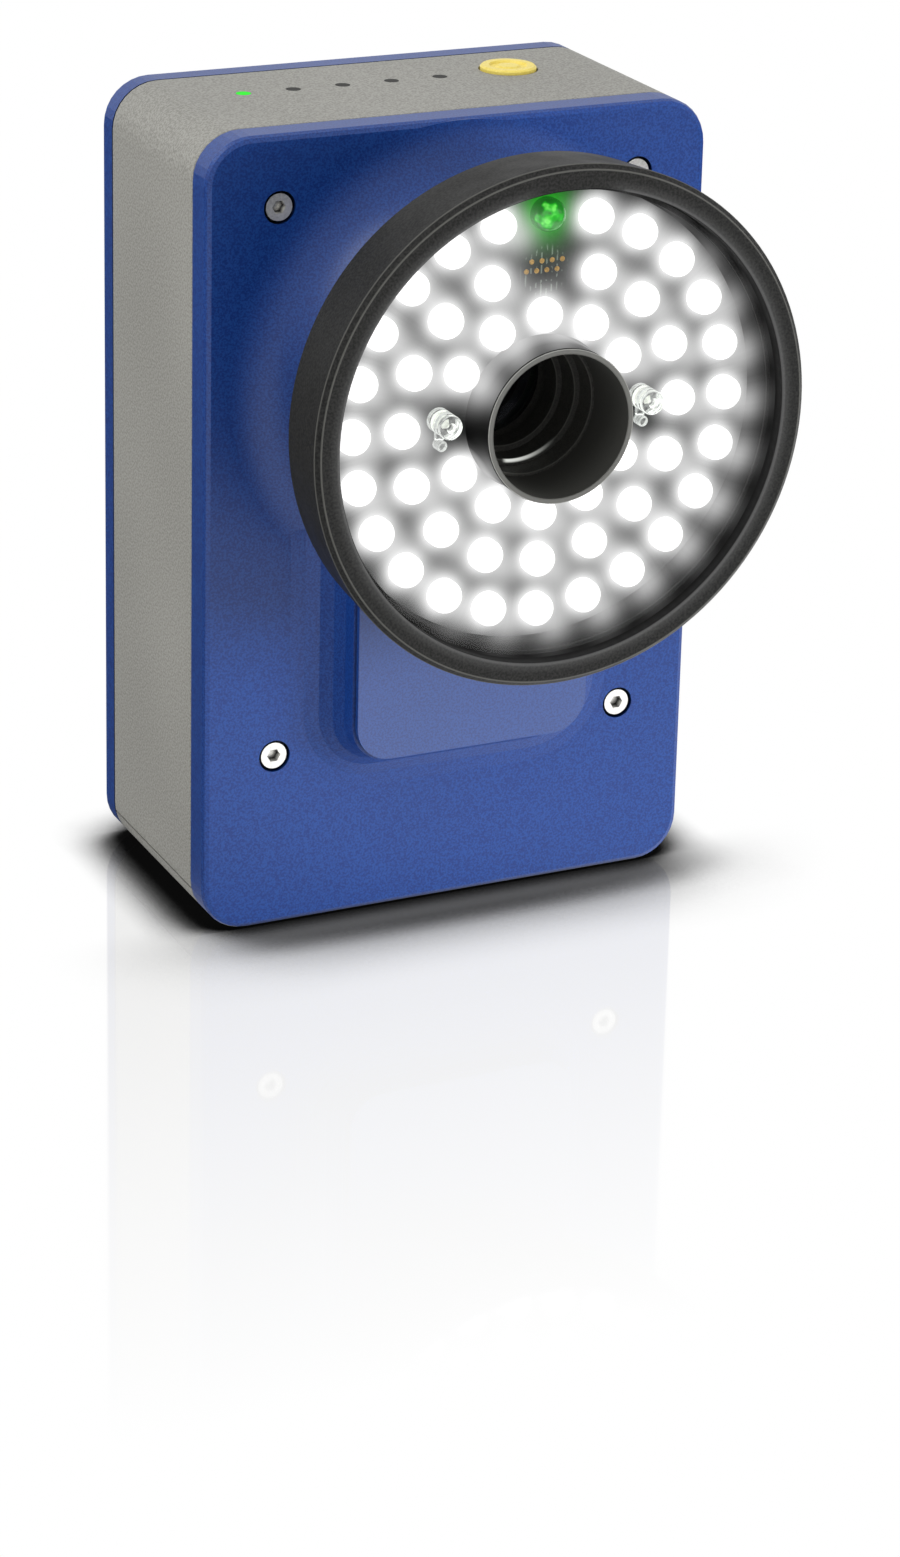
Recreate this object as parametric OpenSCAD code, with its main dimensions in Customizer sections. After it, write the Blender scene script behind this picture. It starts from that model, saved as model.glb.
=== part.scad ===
// Fixed barcode reader: an image-based code reader for a machine or a conveyor.
// Millimetres. Origin under the middle of the body, +Z up, the lens looks along -Y.

/* [Body] */
// Width of the body across its side walls
body_w = 108; // [102:1:140]
// Height of the body from its underside to its top face
body_h = 165; // [160:1:200]
// Depth of the body from the front face to the rear face
body_d = 56; // [50:1:80]
// Corner radius of the body seen from the front
corner_r = 9.5; // [6:0.5:14]
// Wall thickness of the housing
wall_t = 3.2; // [2.4:0.1:4]
// Thickness of the front cover
front_t = 6.8; // [5:0.1:9]
// Thickness of the rear cover
rear_t = 5.8; // [5:0.1:9]
// Thickness of the bottom plate
bottom_t = 7.3; // [6:0.1:9]
// Soft edge around the outer face of each cover
edge_r = 1.2; // [0.6:0.1:2]
// Fine chamfer where the housing meets a cover
seam_c = 0.5; // [0.2:0.1:1]
// Thickness of the flat bottom gasket
gasket_t = 0.5; // [0.4:0.1:1]

/* [Boss and pad] */
// Radius of the boss where it carries the ring light
neck_r = 33; // [30:0.5:36]
// Radius of the flare that blends the boss into the front cover
flare_r = 16; // [10:0.5:16]
// Distance from the front face to the back of the ring light
ring_stand = 31.5; // [28:0.5:45]
// Width of the raised pad below the ring light
pad_w = 52; // [40:1:56]
// Height of the pad's face above the front face
pad_up = 11; // [8:0.5:14]
// Height of the pad's lower edge above the underside
pad_z = 36.7; // [30:0.1:45]
// Corner radius of the pad
pad_r = 8; // [4:0.5:12]
// Step between the pad's face and the soft slope around it
pad_step = 1.4; // [0.6:0.1:2]

/* [Ring light] */
// Outer radius of the ring light
ring_r = 51.5; // [50:0.5:60]
// Distance of the optical axis below the top face
ring_drop = 49.3; // [49:0.1:60]
// Depth of the ring light from back to rim
ring_t = 16.5; // [14:0.5:20]
// Width of the rim's flat face
rim_w = 4.9; // [4:0.1:6.5]
// How much smaller the ring light's back is in radius
ring_draft = 1.2; // [0:0.1:2]
// Depth of the window below the rim
window_in = 2.5; // [1:0.1:3]
// Radius of the open bore in the middle
bore_r = 14.3; // [12:0.1:16]
// Radius of one LED lens
led_r = 3.3; // [2.8:0.1:4.1]
// Height of one LED lens above the board
led_tall = 4; // [3:0.1:4.5]
// Distance from the ring light's inner wall to the outer LED circle
led_edge = 6.1; // [5.2:0.1:6.6]
// Distance from the bore to the middle LED circle
led_middle = 15; // [14.8:0.1:15.4]
// Distance from the bore to the inner LED circle
led_inner = 5.5; // [5.2:0.1:6.8]
// Distance from the bore to the two aiming lenses
aim_out = 7.1; // [6.6:0.1:7.4]
// Height of the two aiming lenses above the optical axis
aim_up = 1.2; // [0:0.1:1.6]

/* [Screws] */
// Distance of the cover screws from the side faces
screw_side = 15.3; // [12:0.1:16]
// Height of the lower cover screws
screw_z0 = 36.8; // [32:0.1:44]
// Distance of the upper cover screws below the top face
screw_drop = 14.4; // [12:0.1:16]
// Radius of a screw's shank
shank_r = 1.5; // [1.25:0.25:2]
// Radius of a screw's head
head_r = 2.75; // [2.25:0.25:3.5]
// Height of a screw's head
head_h = 3; // [2:0.5:4]

/* [Top panel] */
// Distance of the first indicator from the left side face
lamp_side = 21.5; // [21:0.1:24]
// Distance from one indicator to the next
lamp_gap = 10.75; // [8:0.05:11]
// Position of the indicators behind the middle of the body
lamp_y = 5.5; // [0:0.1:10]
// Radius of one indicator
lamp_r = 1.5; // [1:0.1:1.7]
// Distance of the push button from the right side face
button_side = 27.4; // [26:0.1:29]
// Position of the push button behind the middle of the body
button_y = 7; // [2:0.1:10]
// Radius of the push button
button_r = 5.8; // [5:0.1:6]
// Height of the push button above the top face
button_up = 0.9; // [0.8:0.1:1.5]

/* [Rear] */
// Distance between the tapped mounting holes, across
mount_dx = 60; // [50:1:64]
// Distance between the tapped mounting holes, upwards
mount_dz = 60; // [50:1:64]
// Height of the middle of the mounting holes
mount_z = 95; // [90:1:100]
// Radius of a tapped mounting hole
mount_r = 1.65; // [1.25:0.05:2.1]
// Depth of a tapped mounting hole
mount_in = 5; // [4:0.5:5]
// Distance of each connector from the middle plane
plug_x = 16; // [13:0.5:20]
// Height of the connectors
plug_z = 26; // [24:0.5:28]
// Radius of a connector's thread
plug_r = 6; // [5:0.5:7]

/* [Fits] */
// Gap around a piece that is pushed into its seat
fit = 0.15; // [0.1:0.05:0.3]
// Gap around a piece that moves
run = 0.32; // [0.3:0.02:0.5]

/* [Hidden] */
$fn = 64;
front_y = -body_d/2;
rear_y = body_d/2;
in_front = front_y + front_t;
in_rear = rear_y - rear_t;
in_d = in_rear - in_front;
in_w = body_w - 2*wall_t;
ceil_z = body_h - wall_t;
ring_z = body_h - ring_drop;
screw_x = body_w/2 - screw_side;
screw_z1 = body_h - screw_drop;
lamp_x0 = lamp_side - body_w/2;
button_x = body_w/2 - button_side;
wall_z0 = bottom_t + gasket_t;
hole_r = shank_r + 0.2;
tap_r = shank_r + 0.1;
cbore_r = head_r + 0.6;
cbore_in = head_h + 0.4;
post_r = shank_r + 3;
low_head = 2;
screw_at = [for (sx = [-1, 1], z = [screw_z0, screw_z1]) [sx*screw_x, z]];
groove_w = 1.4;
groove_in = 0.8;
groove_mid = wall_t/2;
base_x = body_w/2 - 9.5;
base_y = in_d/2 - 8.5;
base_mid = (in_front + in_rear)/2;
base_at = [for (sx = [-1, 1], sy = [-1, 1]) [sx*base_x, base_mid + sy*base_y]];
base_block = 14;
boss_bore = bore_r + 5.7;
ring_back = front_y - ring_stand;
cup_r = ring_r - rim_w;
shelf_r = cup_r - 1;
back_t = 3;
tube_t = 1;
tube_r = bore_r + tube_t;
window_t = 2;
window_h0 = ring_t - window_in - window_t;
seal_t = 0.6;
rim_c = 1;
pad_film = 0.4;
board_t = 1.6;
board_h0 = back_t + pad_film;
led_h0 = board_h0 + board_t;
chip = 3.2;
chip_t = 0.8;
stud_r = 3;
stud_in = 8;
board_screw = 6;
ring_screw_pcd_r = (boss_bore + neck_r)/2;
led_outer_r = shelf_r - led_edge;
led_middle_r = bore_r + led_middle;
led_inner_r = bore_r + led_inner;
aim_at_r = bore_r + aim_out;
outer_n = 24;
middle_n = 16;
inner_n = 12;
outer_a = [for (i = [1 : outer_n - 1]) [led_outer_r, 90 + i*360/outer_n]];
middle_a = [for (i = [1 : middle_n - 1]) [led_middle_r, 90 + i*360/middle_n]];
inner_a = [for (i = [0 : inner_n - 1]) if (i % 6 != 3) [led_inner_r, 90 + i*360/inner_n]];
led_a = concat(outer_a, middle_a, inner_a);
aim_r = 2.4;
aim_gap = 1;
aim_tall = window_h0 - led_h0 - aim_gap;
aim_c = 0.4;
aim_eye = 1;
aim_chip = 2;
aim_pocket = 1.6;
aim_peg = 4.8;
aim_peg_r = 1.1;
aim_peg_h = 2.4;
aim_web = 1.6;
aim_web_t = 1;
gold_dx = 2.15;
gold_dz = 1.85;
gold_r = 0.5;
gold_t = 0.15;
baffle_r = boss_bore - fit;
baffle_h0 = ring_stand/2;
barrel_r = bore_r + 2.7;
barrel_wall = 2.8;
barrel_h1 = baffle_h0 - 0.2;
barrel_len = 30;
lens_r = barrel_r - barrel_wall - fit;
lens_t = 4.6;
lens_lip = 3;
keeper_t = 2;
focus_t = 7.8;
back_lens_t = 4;
holder_r = 27;
holder_t = 4;
holder_y = in_front + holder_t;
cell_w = 46;
cell_wall = 3.5;
cell_d = 13.2;
cell_y = holder_y + cell_d;
sensor_w = 16;
sensor_h = 12;
sensor_t = 1.8;
glass_t = 0.5;
main_y = in_rear - 14.2;
main_z0 = screw_z0 + post_r + 4.7;
main_z1 = screw_z1 - post_r - 6.1;
main_w = in_w - 13.6;
main_post_x = main_w/2 - 4;
main_post_in = 5;
cpu_w = 24;
cpu_t = 2;
cpu_z = (main_z0 + main_z1)/2;
gap_pad_t = in_rear - main_y - board_t - cpu_t;
io_y = in_rear - 8.2;
io_w = 2*(screw_x - post_r) - 6.4;
io_z0 = wall_z0 + 4.2;
io_z1 = plug_z + 12;
plug_out = 12;
flange_t = 3;
flange_r = plug_r + 2.6;
plug_neck = plug_r + 0.8;
nut_r = plug_neck + 2.6;
nut_t = 2.6;
insert_r = plug_r - 1.4;
insert_end = rear_y + plug_out - 4;
pin_r = 0.5;
pin_out = 3.2;
pin_pcd = insert_r - 2;
travel = 0.8;
flange_up = 0.4;
lamp_at = [for (i = [0 : 4]) lamp_x0 + i*lamp_gap];
panel_z = ceil_z - 11.8;
panel_top = panel_z + board_t;
panel_w = 2*(screw_x - post_r) - 1.9;
panel_y0 = -9;
panel_y1 = 15;
panel_screw_x = panel_w/2 - 3.25;
panel_screw_y = -5.5;
panel_post_r = 2.8;
switch_w = 6;
switch_h = 3.4;
plunger_r = 1.7;
plunger_h = 0.9;
stem_z = panel_top + switch_h + plunger_h + travel + run;
button_seat = ceil_z - flange_up;
button_flange = 1.4;
button_flange_r = button_r + 1.4;
seal_h = 1.2;
seal_z = ceil_z + (wall_t - seal_h)/2;
seal_w = 1.1;

blue = [0.07, 0.15, 0.40];
grey = [0.58, 0.57, 0.54];
black = [0.09, 0.09, 0.09];
steel = [0.70, 0.70, 0.70];
green_board = [0.05, 0.16, 0.09];
clear = [0.92, 0.95, 0.97, 0.45];
yellow = [0.93, 0.80, 0.18];
rubber_grey = [0.13, 0.13, 0.13];
gold = [0.83, 0.66, 0.28];

// Rounded rectangle of the body's outline, grown by g, standing on the underside
module outline(g = 0, r = corner_r) {
    w = body_w + 2*g;
    h = body_h + 2*g;
    rr = r + g;
    translate([0, body_h/2]) {
        square([w - 2*rr, h], center = true);
        square([w, h - 2*rr], center = true);
        for (sx = [-1, 1], sz = [-1, 1])
            translate([sx*(w/2 - rr), sz*(h/2 - rr)])
                circle(r = rr);
    }
}

// A flat shape drawn in X and Z, given a thickness t towards the rear from y
module slab(y, t) {
    translate([0, y + t, 0])
        rotate([90, 0, 0])
            linear_extrude(height = t)
                children();
}

// A round bar along Y that starts at y
module bar_y(x, y, z, r, len) {
    translate([x, y, z])
        rotate([-90, 0, 0])
            cylinder(h = len, r = r);
}

// Puts a turned shape on the optical axis: its own height runs forward from y
module on_axis(y) {
    translate([0, y, ring_z])
        rotate([90, 0, 0])
            children();
}

// A cover plate with a soft outer edge; its outer face is at y, its inner face at y + t
module soft_plate(y, t) {
    thin = 0.01;
    side = t > 0 ? 1 : -1;
    thick = abs(t);
    hull() {
        translate([0, side > 0 ? 0 : -thick, 0])
            slab(y + (side > 0 ? edge_r : 0), thick - edge_r, $fn = 32)
                outline();
        translate([0, side > 0 ? 0 : -thin, 0])
            slab(y + side*edge_r*0.3, thin, $fn = 32)
                outline(-edge_r*0.3);
        translate([0, side > 0 ? 0 : -thin, 0])
            slab(y, thin, $fn = 32)
                outline(-edge_r);
    }
}

// The body's outer shape between the covers, with a fine chamfer at both ends
module body_block() {
    thin = 0.01;
    hull() {
        slab(in_front, thin, $fn = 32)
            outline(-seam_c);
        slab(in_front + seam_c, in_d - 2*seam_c, $fn = 32)
            outline();
        slab(in_rear - thin, thin, $fn = 32)
            outline(-seam_c);
    }
}

// Outline of the pad grown by g, reaching up behind the ring light
module pad_shape(g) {
    w = pad_w + 2*g;
    r = pad_r + g;
    z0 = pad_z - g;
    z1 = ring_z - neck_r/3;
    translate([-w/2, z0 + r])
        square([w, z1 - z0 - r]);
    translate([-w/2 + r, z0])
        square([w - 2*r, 2*r]);
    for (sx = [-1, 1])
        translate([sx*(w/2 - r), z0 + r])
            circle(r = r);
}

// One band of the soft slope around the pad, from grown outline g0 at height h0 to g1 at h1
module slope_band(g0, h0, g1, h1) {
    thin = 0.01;
    hull() {
        slab(front_y - h0, thin, $fn = 32)
            pad_shape(g0);
        slab(front_y - h1 - thin, h1 > 0 ? thin : thin*20, $fn = 32)
            pad_shape(g1);
    }
}

// A cap screw with a hexagon socket: its head's top face is at the origin, its shank along -Z
module cap_screw(len, hh = head_h) {
    socket_r = head_r*0.52;
    difference() {
        union() {
            translate([0, 0, -hh])
                cylinder(h = hh, r = head_r);
            translate([0, 0, -hh - len])
                cylinder(h = len + 0.01, r = shank_r);
        }
        translate([0, 0, -hh*0.55])
            cylinder(h = hh, r = socket_r, $fn = 6);
    }
}

// A gasket's path around the wall, w wide
module wall_ring(w) {
    difference() {
        outline(-groove_mid + w/2);
        outline(-groove_mid - w/2);
    }
}

module front_cover() {
    rise = pad_up - pad_step;
    steps = 5;
    color(blue)
    difference() {
        union() {
            soft_plate(front_y, front_t);
            // boss with a concave flare
            on_axis(front_y)
                rotate_extrude()
                    difference() {
                        translate([boss_bore - 1, -1])
                            square([neck_r + flare_r - boss_bore + 1, ring_stand + 1]);
                        translate([neck_r + flare_r, flare_r])
                            circle(r = flare_r);
                        translate([neck_r, flare_r])
                            square([2*flare_r, ring_stand]);
                    }
            // soft slope around the pad
            for (i = [0 : steps - 1])
                slope_band(
                    rise*(1 - cos(i*90/steps)), rise*(1 - sin(i*90/steps)),
                    rise*(1 - cos((i + 1)*90/steps)), rise*(1 - sin((i + 1)*90/steps)));
            // pad
            slab(front_y - pad_up, pad_up + 1)
                pad_shape(-0.6);
        }
        // bore for the lens
        bar_y(0, ring_back - 1, ring_z, boss_bore, ring_stand + front_t + 2);
        // cover screws
        for (p = screw_at) {
            bar_y(p[0], front_y - pad_up, p[1], cbore_r, pad_up + cbore_in);
            bar_y(p[0], front_y, p[1], hole_r, front_t + 1);
        }
        // tapped holes for the ring light and for the lens holder
        for (a = [90, 210, 330])
            on_axis(ring_back)
                rotate([0, 0, a])
                    translate([ring_screw_pcd_r, 0, -9])
                        cylinder(h = 10, r = tap_r);
        for (a = [45 : 90 : 315])
            on_axis(in_front)
                rotate([0, 0, a])
                    translate([holder_r - 3.2, 0, -1])
                        cylinder(h = 6, r = tap_r);
        // groove for the gasket
        slab(in_front - groove_in, groove_in + 1)
            wall_ring(groove_w);
    }
}

module front_cover_screws() {
    color(steel)
    for (p = screw_at)
        translate([p[0], front_y + 0.4, p[1]])
            rotate([90, 0, 0])
                cap_screw(front_t + 4);
}

module front_gasket() {
    color(rubber_grey)
    slab(in_front - groove_in, groove_in)
        wall_ring(groove_w - 2*fit);
}

module main_housing() {
    color(grey)
    difference() {
        union() {
            difference() {
                body_block();
                slab(in_front - 1, in_d + 2)
                    outline(-wall_t);
            }
            intersection() {
                slab(in_front, in_d)
                    outline(-wall_t + 0.2);
                union() {
                    // posts for the cover screws, tied to the side walls
                    for (p = screw_at) {
                        bar_y(p[0], in_front, p[1], post_r, in_d);
                        translate([p[0] > 0 ? p[0] : -in_w/2 - 1, in_front, p[1] - 2.5])
                            cube([in_w/2 + 1 - screw_x, in_d, 5]);
                    }
                    // corner blocks for the bottom plate's screws
                    for (p = base_at)
                        translate([p[0] > 0 ? p[0] - 4.5 : -in_w/2 - 1, p[1] - 4.5, wall_z0 - 1])
                            cube([in_w/2 + 1 + 4.5 - base_x, 9, base_block + 1]);
                    // posts that hold the indicator board
                    for (sx = [-1, 1])
                        translate([sx*panel_screw_x, panel_screw_y, panel_top])
                            cylinder(h = ceil_z - panel_top + 1, r = panel_post_r);
                }
            }
        }
        // the bottom plate and its gasket close this side
        translate([-body_w, in_front - 1, -1])
            cube([2*body_w, in_d + 2, wall_z0 + 1]);
        // tapped holes
        for (p = screw_at)
            bar_y(p[0], in_front - 1, p[1], tap_r, in_d + 2);
        for (p = base_at)
            translate([p[0], p[1], wall_z0 - 1])
                cylinder(h = base_block - 2, r = tap_r);
        for (sx = [-1, 1])
            translate([sx*panel_screw_x, panel_screw_y, panel_top - 1])
                cylinder(h = 7, r = 1.1);
        // indicators and button
        for (x = lamp_at)
            translate([x, lamp_y, ceil_z - 1])
                cylinder(h = wall_t + 2, r = lamp_r + 0.05);
        translate([button_x, button_y, ceil_z - 1])
            cylinder(h = wall_t + 2, r = button_r + run);
        translate([button_x, button_y, seal_z])
            cylinder(h = seal_h, r = button_r + run + seal_w);
    }
}

module bottom_plate() {
    color(grey)
    difference() {
        intersection() {
            body_block();
            translate([-body_w, in_front - 1, -1])
                cube([2*body_w, in_d + 2, bottom_t + 1]);
        }
        for (p = base_at) {
            translate([p[0], p[1], -1])
                cylinder(h = cbore_in + 1, r = cbore_r);
            translate([p[0], p[1], -1])
                cylinder(h = bottom_t + 2, r = hole_r);
        }
    }
}

module bottom_gasket() {
    inset = 0.6;
    color(rubber_grey)
    translate([0, 0, bottom_t])
        difference() {
            translate([-in_w/2 - wall_t + inset, in_front + inset, 0])
                cube([in_w + 2*wall_t - 2*inset, in_d - 2*inset, gasket_t]);
            translate([-in_w/2, in_front + wall_t, -1])
                cube([in_w, in_d - 2*wall_t, gasket_t + 2]);
            for (p = base_at)
                translate([p[0], p[1], -1])
                    cylinder(h = gasket_t + 2, r = hole_r);
        }
}

module bottom_plate_screws() {
    color(steel)
    for (p = base_at)
        translate([p[0], p[1], 0.4])
            rotate([180, 0, 0])
                cap_screw(bottom_t + 4);
}

module rear_cover() {
    color(blue)
    difference() {
        soft_plate(rear_y, -rear_t);
        for (p = screw_at) {
            bar_y(p[0], rear_y - cbore_in, p[1], cbore_r, cbore_in + 1);
            bar_y(p[0], in_rear - 1, p[1], hole_r, rear_t + 2);
        }
        for (sx = [-1, 1], sz = [-1, 1])
            bar_y(sx*mount_dx/2, rear_y - mount_in, mount_z + sz*mount_dz/2, mount_r, mount_in + 1);
        for (sx = [-1, 1])
            bar_y(sx*plug_x, in_rear - 1, plug_z, plug_neck + fit, rear_t + 2);
        for (sx = [-1, 1], z = [main_z0 + main_post_in, main_z1 - main_post_in])
            bar_y(sx*main_post_x, in_rear - 1, z, tap_r, 4);
        slab(in_rear - 1, groove_in + 1)
            wall_ring(groove_w);
    }
}

module rear_gasket() {
    color(rubber_grey)
    slab(in_rear, groove_in)
        wall_ring(groove_w - 2*fit);
}

module rear_cover_screws() {
    color(steel)
    for (p = screw_at)
        translate([p[0], rear_y - 0.4, p[1]])
            rotate([-90, 0, 0])
                cap_screw(rear_t + 4);
}

module ring_housing() {
    lip = 0.4;
    color(black)
    difference() {
        on_axis(ring_back)
            rotate_extrude($fn = 96)
                polygon([[bore_r, 0], [ring_r - ring_draft - 0.8, 0], [ring_r - ring_draft, 0.8],
                    [ring_r, ring_t - rim_c],
                    [ring_r - rim_c, ring_t], [cup_r + lip, ring_t], [cup_r, ring_t - lip],
                    [cup_r, window_h0 - seal_t], [shelf_r, window_h0 - seal_t], [shelf_r, back_t],
                    [tube_r, back_t], [tube_r, ring_t - window_in + 0.3],
                    [bore_r, ring_t - window_in + 0.3]]);
        for (a = [90, 210, 330])
            on_axis(ring_back)
                rotate([0, 0, a])
                    translate([ring_screw_pcd_r, 0, -1]) {
                        cylinder(h = back_t + 2, r = hole_r);
                        translate([0, 0, 1 + back_t - low_head - 0.1])
                            cylinder(h = low_head + 1, r = cbore_r);
                    }
    }
}

module ring_screws() {
    color(steel)
    for (a = [90, 210, 330])
        on_axis(ring_back)
            rotate([0, 0, a])
                translate([ring_screw_pcd_r, 0, back_t - 0.1])
                    cap_screw(9, low_head);
}

// A flat turned ring on the optical axis, measured forward from the ring light's back
module flat_ring(h, t, r0, r1) {
    on_axis(ring_back)
        translate([0, 0, h])
            difference() {
                cylinder(h = t, r = r1, $fn = 96);
                translate([0, 0, -1])
                    cylinder(h = t + 2, r = r0, $fn = 96);
            }
}

module ring_thermal_pad() {
    color([0.55, 0.56, 0.58])
    flat_ring(back_t, pad_film, tube_r + 0.4, shelf_r - 0.4);
}

module led_board() {
    color([0.10, 0.12, 0.11])
    flat_ring(board_h0, board_t, tube_r + 0.4, shelf_r - 0.4);
}

// Puts a piece of the ring light at radius p[0] and angle p[1], on the board's face
module on_board(p) {
    on_axis(ring_back)
        rotate([0, 0, p[1]])
            translate([p[0], 0, led_h0])
                children();
}

module led_packages() {
    color([0.90, 0.88, 0.70]) {
        for (p = concat(led_a, [[led_outer_r, 90]]))
            on_board(p)
                translate([-chip/2, -chip/2, 0])
                    cube([chip, chip, chip_t]);
        for (sx = [-1, 1])
            on_board([0, 0])
                translate([sx*aim_at_r - aim_chip/2, aim_up - aim_chip/2, 0])
                    cube([aim_chip, aim_chip, chip_t]);
    }
}

// A moulded lens with a skirt that stands on the board around its package
module lens_cap(r) {
    tall = led_tall;
    rotate_extrude($fn = 24)
        polygon([[0, chip_t], [chip*0.75, chip_t], [chip*0.75, 0], [r, 0], [r, tall*0.5],
            [r*0.86, tall*0.76], [r*0.5, tall*0.94], [0, tall]]);
}

module led_lenses() {
    color([1, 1, 0.97])
    for (p = led_a)
        on_board(p)
            lens_cap(led_r);
}

module spot_led() {
    color([0.15, 0.85, 0.20])
    on_board([led_outer_r, 90])
        lens_cap(led_r);
}

// Clear lens rods with a dimple in the front face; a web ties each to its locating peg
module aimer_lenses() {
    color(clear)
    for (sx = [-1, 1])
        on_board([0, 0])
            translate([sx*aim_at_r, aim_up, 0])
                union() {
                    rotate_extrude($fn = 32)
                        polygon([[0, chip_t], [aim_pocket, chip_t], [aim_pocket, 0], [aim_r, 0],
                            [aim_r, aim_tall - aim_c], [aim_r - aim_c, aim_tall],
                            [aim_eye, aim_tall], [0, aim_tall - aim_eye]]);
                    translate([-aim_web/2, -aim_peg, 0])
                        cube([aim_web, aim_peg - aim_pocket - 0.3, aim_web_t]);
                    translate([0, -aim_peg, 0])
                        cylinder(h = aim_peg_h, r = aim_peg_r, $fn = 24);
                }
}

module contact_pads() {
    color(gold)
    on_board([0, 0])
        for (i = [0 : 3], k = [0, 1])
            translate([(i - 1.5 + (k - 0.5)/2)*gold_dx, led_middle_r + (k - 0.5)*gold_dz, 0])
                cylinder(h = gold_t, r = gold_r, $fn = 24);
}

module ring_window() {
    color(clear)
    flat_ring(window_h0, window_t, tube_r + fit, cup_r - fit);
}

module window_seal() {
    color(rubber_grey)
    flat_ring(window_h0 - seal_t, seal_t, shelf_r + 0.1, cup_r - fit);
}

module baffle_tube() {
    len = ring_stand - baffle_h0 - 0.1;
    color(black)
    on_axis(front_y - baffle_h0)
        rotate_extrude()
            polygon([[bore_r - 3, 0], [baffle_r, 0], [baffle_r, len], [bore_r - 0.6, len],
                [bore_r - 0.6, len*0.68], [bore_r - 1.8, len*0.68], [bore_r - 1.8, len*0.34],
                [bore_r - 3, len*0.34]]);
}

module lens_barrel() {
    seat = barrel_r - barrel_wall;
    front = keeper_t + lens_t + 0.3;
    color(black)
    on_axis(front_y - barrel_h1)
        rotate_extrude()
            polygon([[seat, 0], [barrel_r, 0], [barrel_r, -barrel_len], [seat, -barrel_len],
                [seat, -front - lens_lip], [seat - 1.8, -front - lens_lip], [seat - 1.8, -front],
                [seat, -front]]);
}

module front_retaining_ring() {
    color(black)
    on_axis(front_y - barrel_h1)
        rotate_extrude()
            polygon([[lens_r - 3, -keeper_t], [lens_r, -keeper_t], [lens_r, -0.2],
                [lens_r - 2, -0.2]]);
}

// A lens blank: two ball faces on a round edge; bulge is how far each face stands out
module lens_blank(r, t, bulge) {
    ball = (r*r + bulge*bulge)/(2*bulge);
    rotate_extrude()
        intersection() {
            square([r, t]);
            translate([0, t - ball])
                circle(r = ball, $fn = 360);
            translate([0, ball])
                circle(r = ball, $fn = 360);
        }
}

module front_lens() {
    color(clear)
    on_axis(front_y - barrel_h1 + keeper_t + lens_t + 0.1)
        lens_blank(lens_r, lens_t, 1.6);
}

module focus_module() {
    len0 = keeper_t + lens_t + 0.3 + lens_lip + 0.1;
    color([0.16, 0.16, 0.17])
    on_axis(front_y - barrel_h1 + len0)
        rotate_extrude()
            polygon([[0, -focus_t + 2], [lens_r - 3.4, -focus_t + 2], [lens_r - 3.4, -focus_t],
                [lens_r, -focus_t], [lens_r, 0], [lens_r - 3.4, 0], [lens_r - 3.4, -2], [0, -2]]);
}

module rear_lens() {
    len0 = keeper_t + lens_t + 0.3 + lens_lip + focus_t + 0.3;
    color(clear)
    on_axis(front_y - barrel_h1 + len0 + back_lens_t)
        lens_blank(lens_r, back_lens_t, 1.2);
}

module rear_retaining_ring() {
    len0 = keeper_t + lens_t + 0.3 + lens_lip + focus_t + back_lens_t + 0.5;
    color(black)
    on_axis(front_y - barrel_h1 + len0)
        rotate_extrude()
            polygon([[lens_r - 3, -keeper_t], [lens_r, -keeper_t], [lens_r, 0], [lens_r - 3, 0]]);
}

module lens_holder() {
    tube = barrel_r + 2.6;
    color(black)
    difference() {
        union() {
            bar_y(0, in_front, ring_z, holder_r, holder_t);
            bar_y(0, in_front - front_t - 4, ring_z, tube, front_t + 5);
            translate([-cell_w/2, holder_y - 0.01, ring_z - cell_w/2])
                cube([cell_w, cell_d, cell_w]);
        }
        bar_y(0, front_y - ring_stand, ring_z, barrel_r + fit, ring_stand + front_t + holder_t + 2);
        translate([-cell_w/2 + cell_wall, holder_y + 1, ring_z - cell_w/2 + cell_wall])
            cube([cell_w - 2*cell_wall, cell_d, cell_w - 2*cell_wall]);
        for (a = [45 : 90 : 315])
            on_axis(holder_y + cell_d + 1)
                rotate([0, 0, a])
                    translate([holder_r - 3.2, 0, 0]) {
                        cylinder(h = cell_d + holder_t + 3, r = hole_r);
                        cylinder(h = cell_d + 1, r = cbore_r);
                    }
    }
}

module lens_holder_screws() {
    color(steel)
    for (a = [45 : 90 : 315])
        on_axis(holder_y)
            rotate([0, 0, a])
                translate([holder_r - 3.2, 0, 0])
                    rotate([180, 0, 0])
                        translate([0, 0, low_head])
                            cap_screw(holder_t + 4.5, low_head);
}

module sensor_board() {
    color(green_board)
    translate([-cell_w/2 + 8, cell_y, ring_z - cell_w/2])
        cube([cell_w - 16, board_t, cell_w]);
}

module image_sensor() {
    color([0.20, 0.20, 0.22])
    translate([-sensor_w/2, cell_y - sensor_t, ring_z - sensor_h/2])
        cube([sensor_w, sensor_t, sensor_h]);
}

module sensor_glass() {
    color(clear)
    translate([-sensor_w/2 + 1, cell_y - sensor_t - glass_t, ring_z - sensor_h/2 + 1])
        cube([sensor_w - 2, glass_t, sensor_h - 2]);
}

module main_board() {
    color(green_board)
    difference() {
        translate([-main_w/2, main_y, main_z0])
            cube([main_w, board_t, main_z1 - main_z0]);
        for (sx = [-1, 1], z = [main_z0 + main_post_in, main_z1 - main_post_in])
            bar_y(sx*main_post_x, main_y - 1, z, hole_r, board_t + 2);
    }
}

module main_board_posts() {
    color([0.80, 0.68, 0.35])
    for (sx = [-1, 1], z = [main_z0 + main_post_in, main_z1 - main_post_in])
        difference() {
            bar_y(sx*main_post_x, main_y + board_t, z, stud_r, in_rear - main_y - board_t, $fn = 6);
            bar_y(sx*main_post_x, main_y, z, tap_r, stud_in);
        }
}

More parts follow.
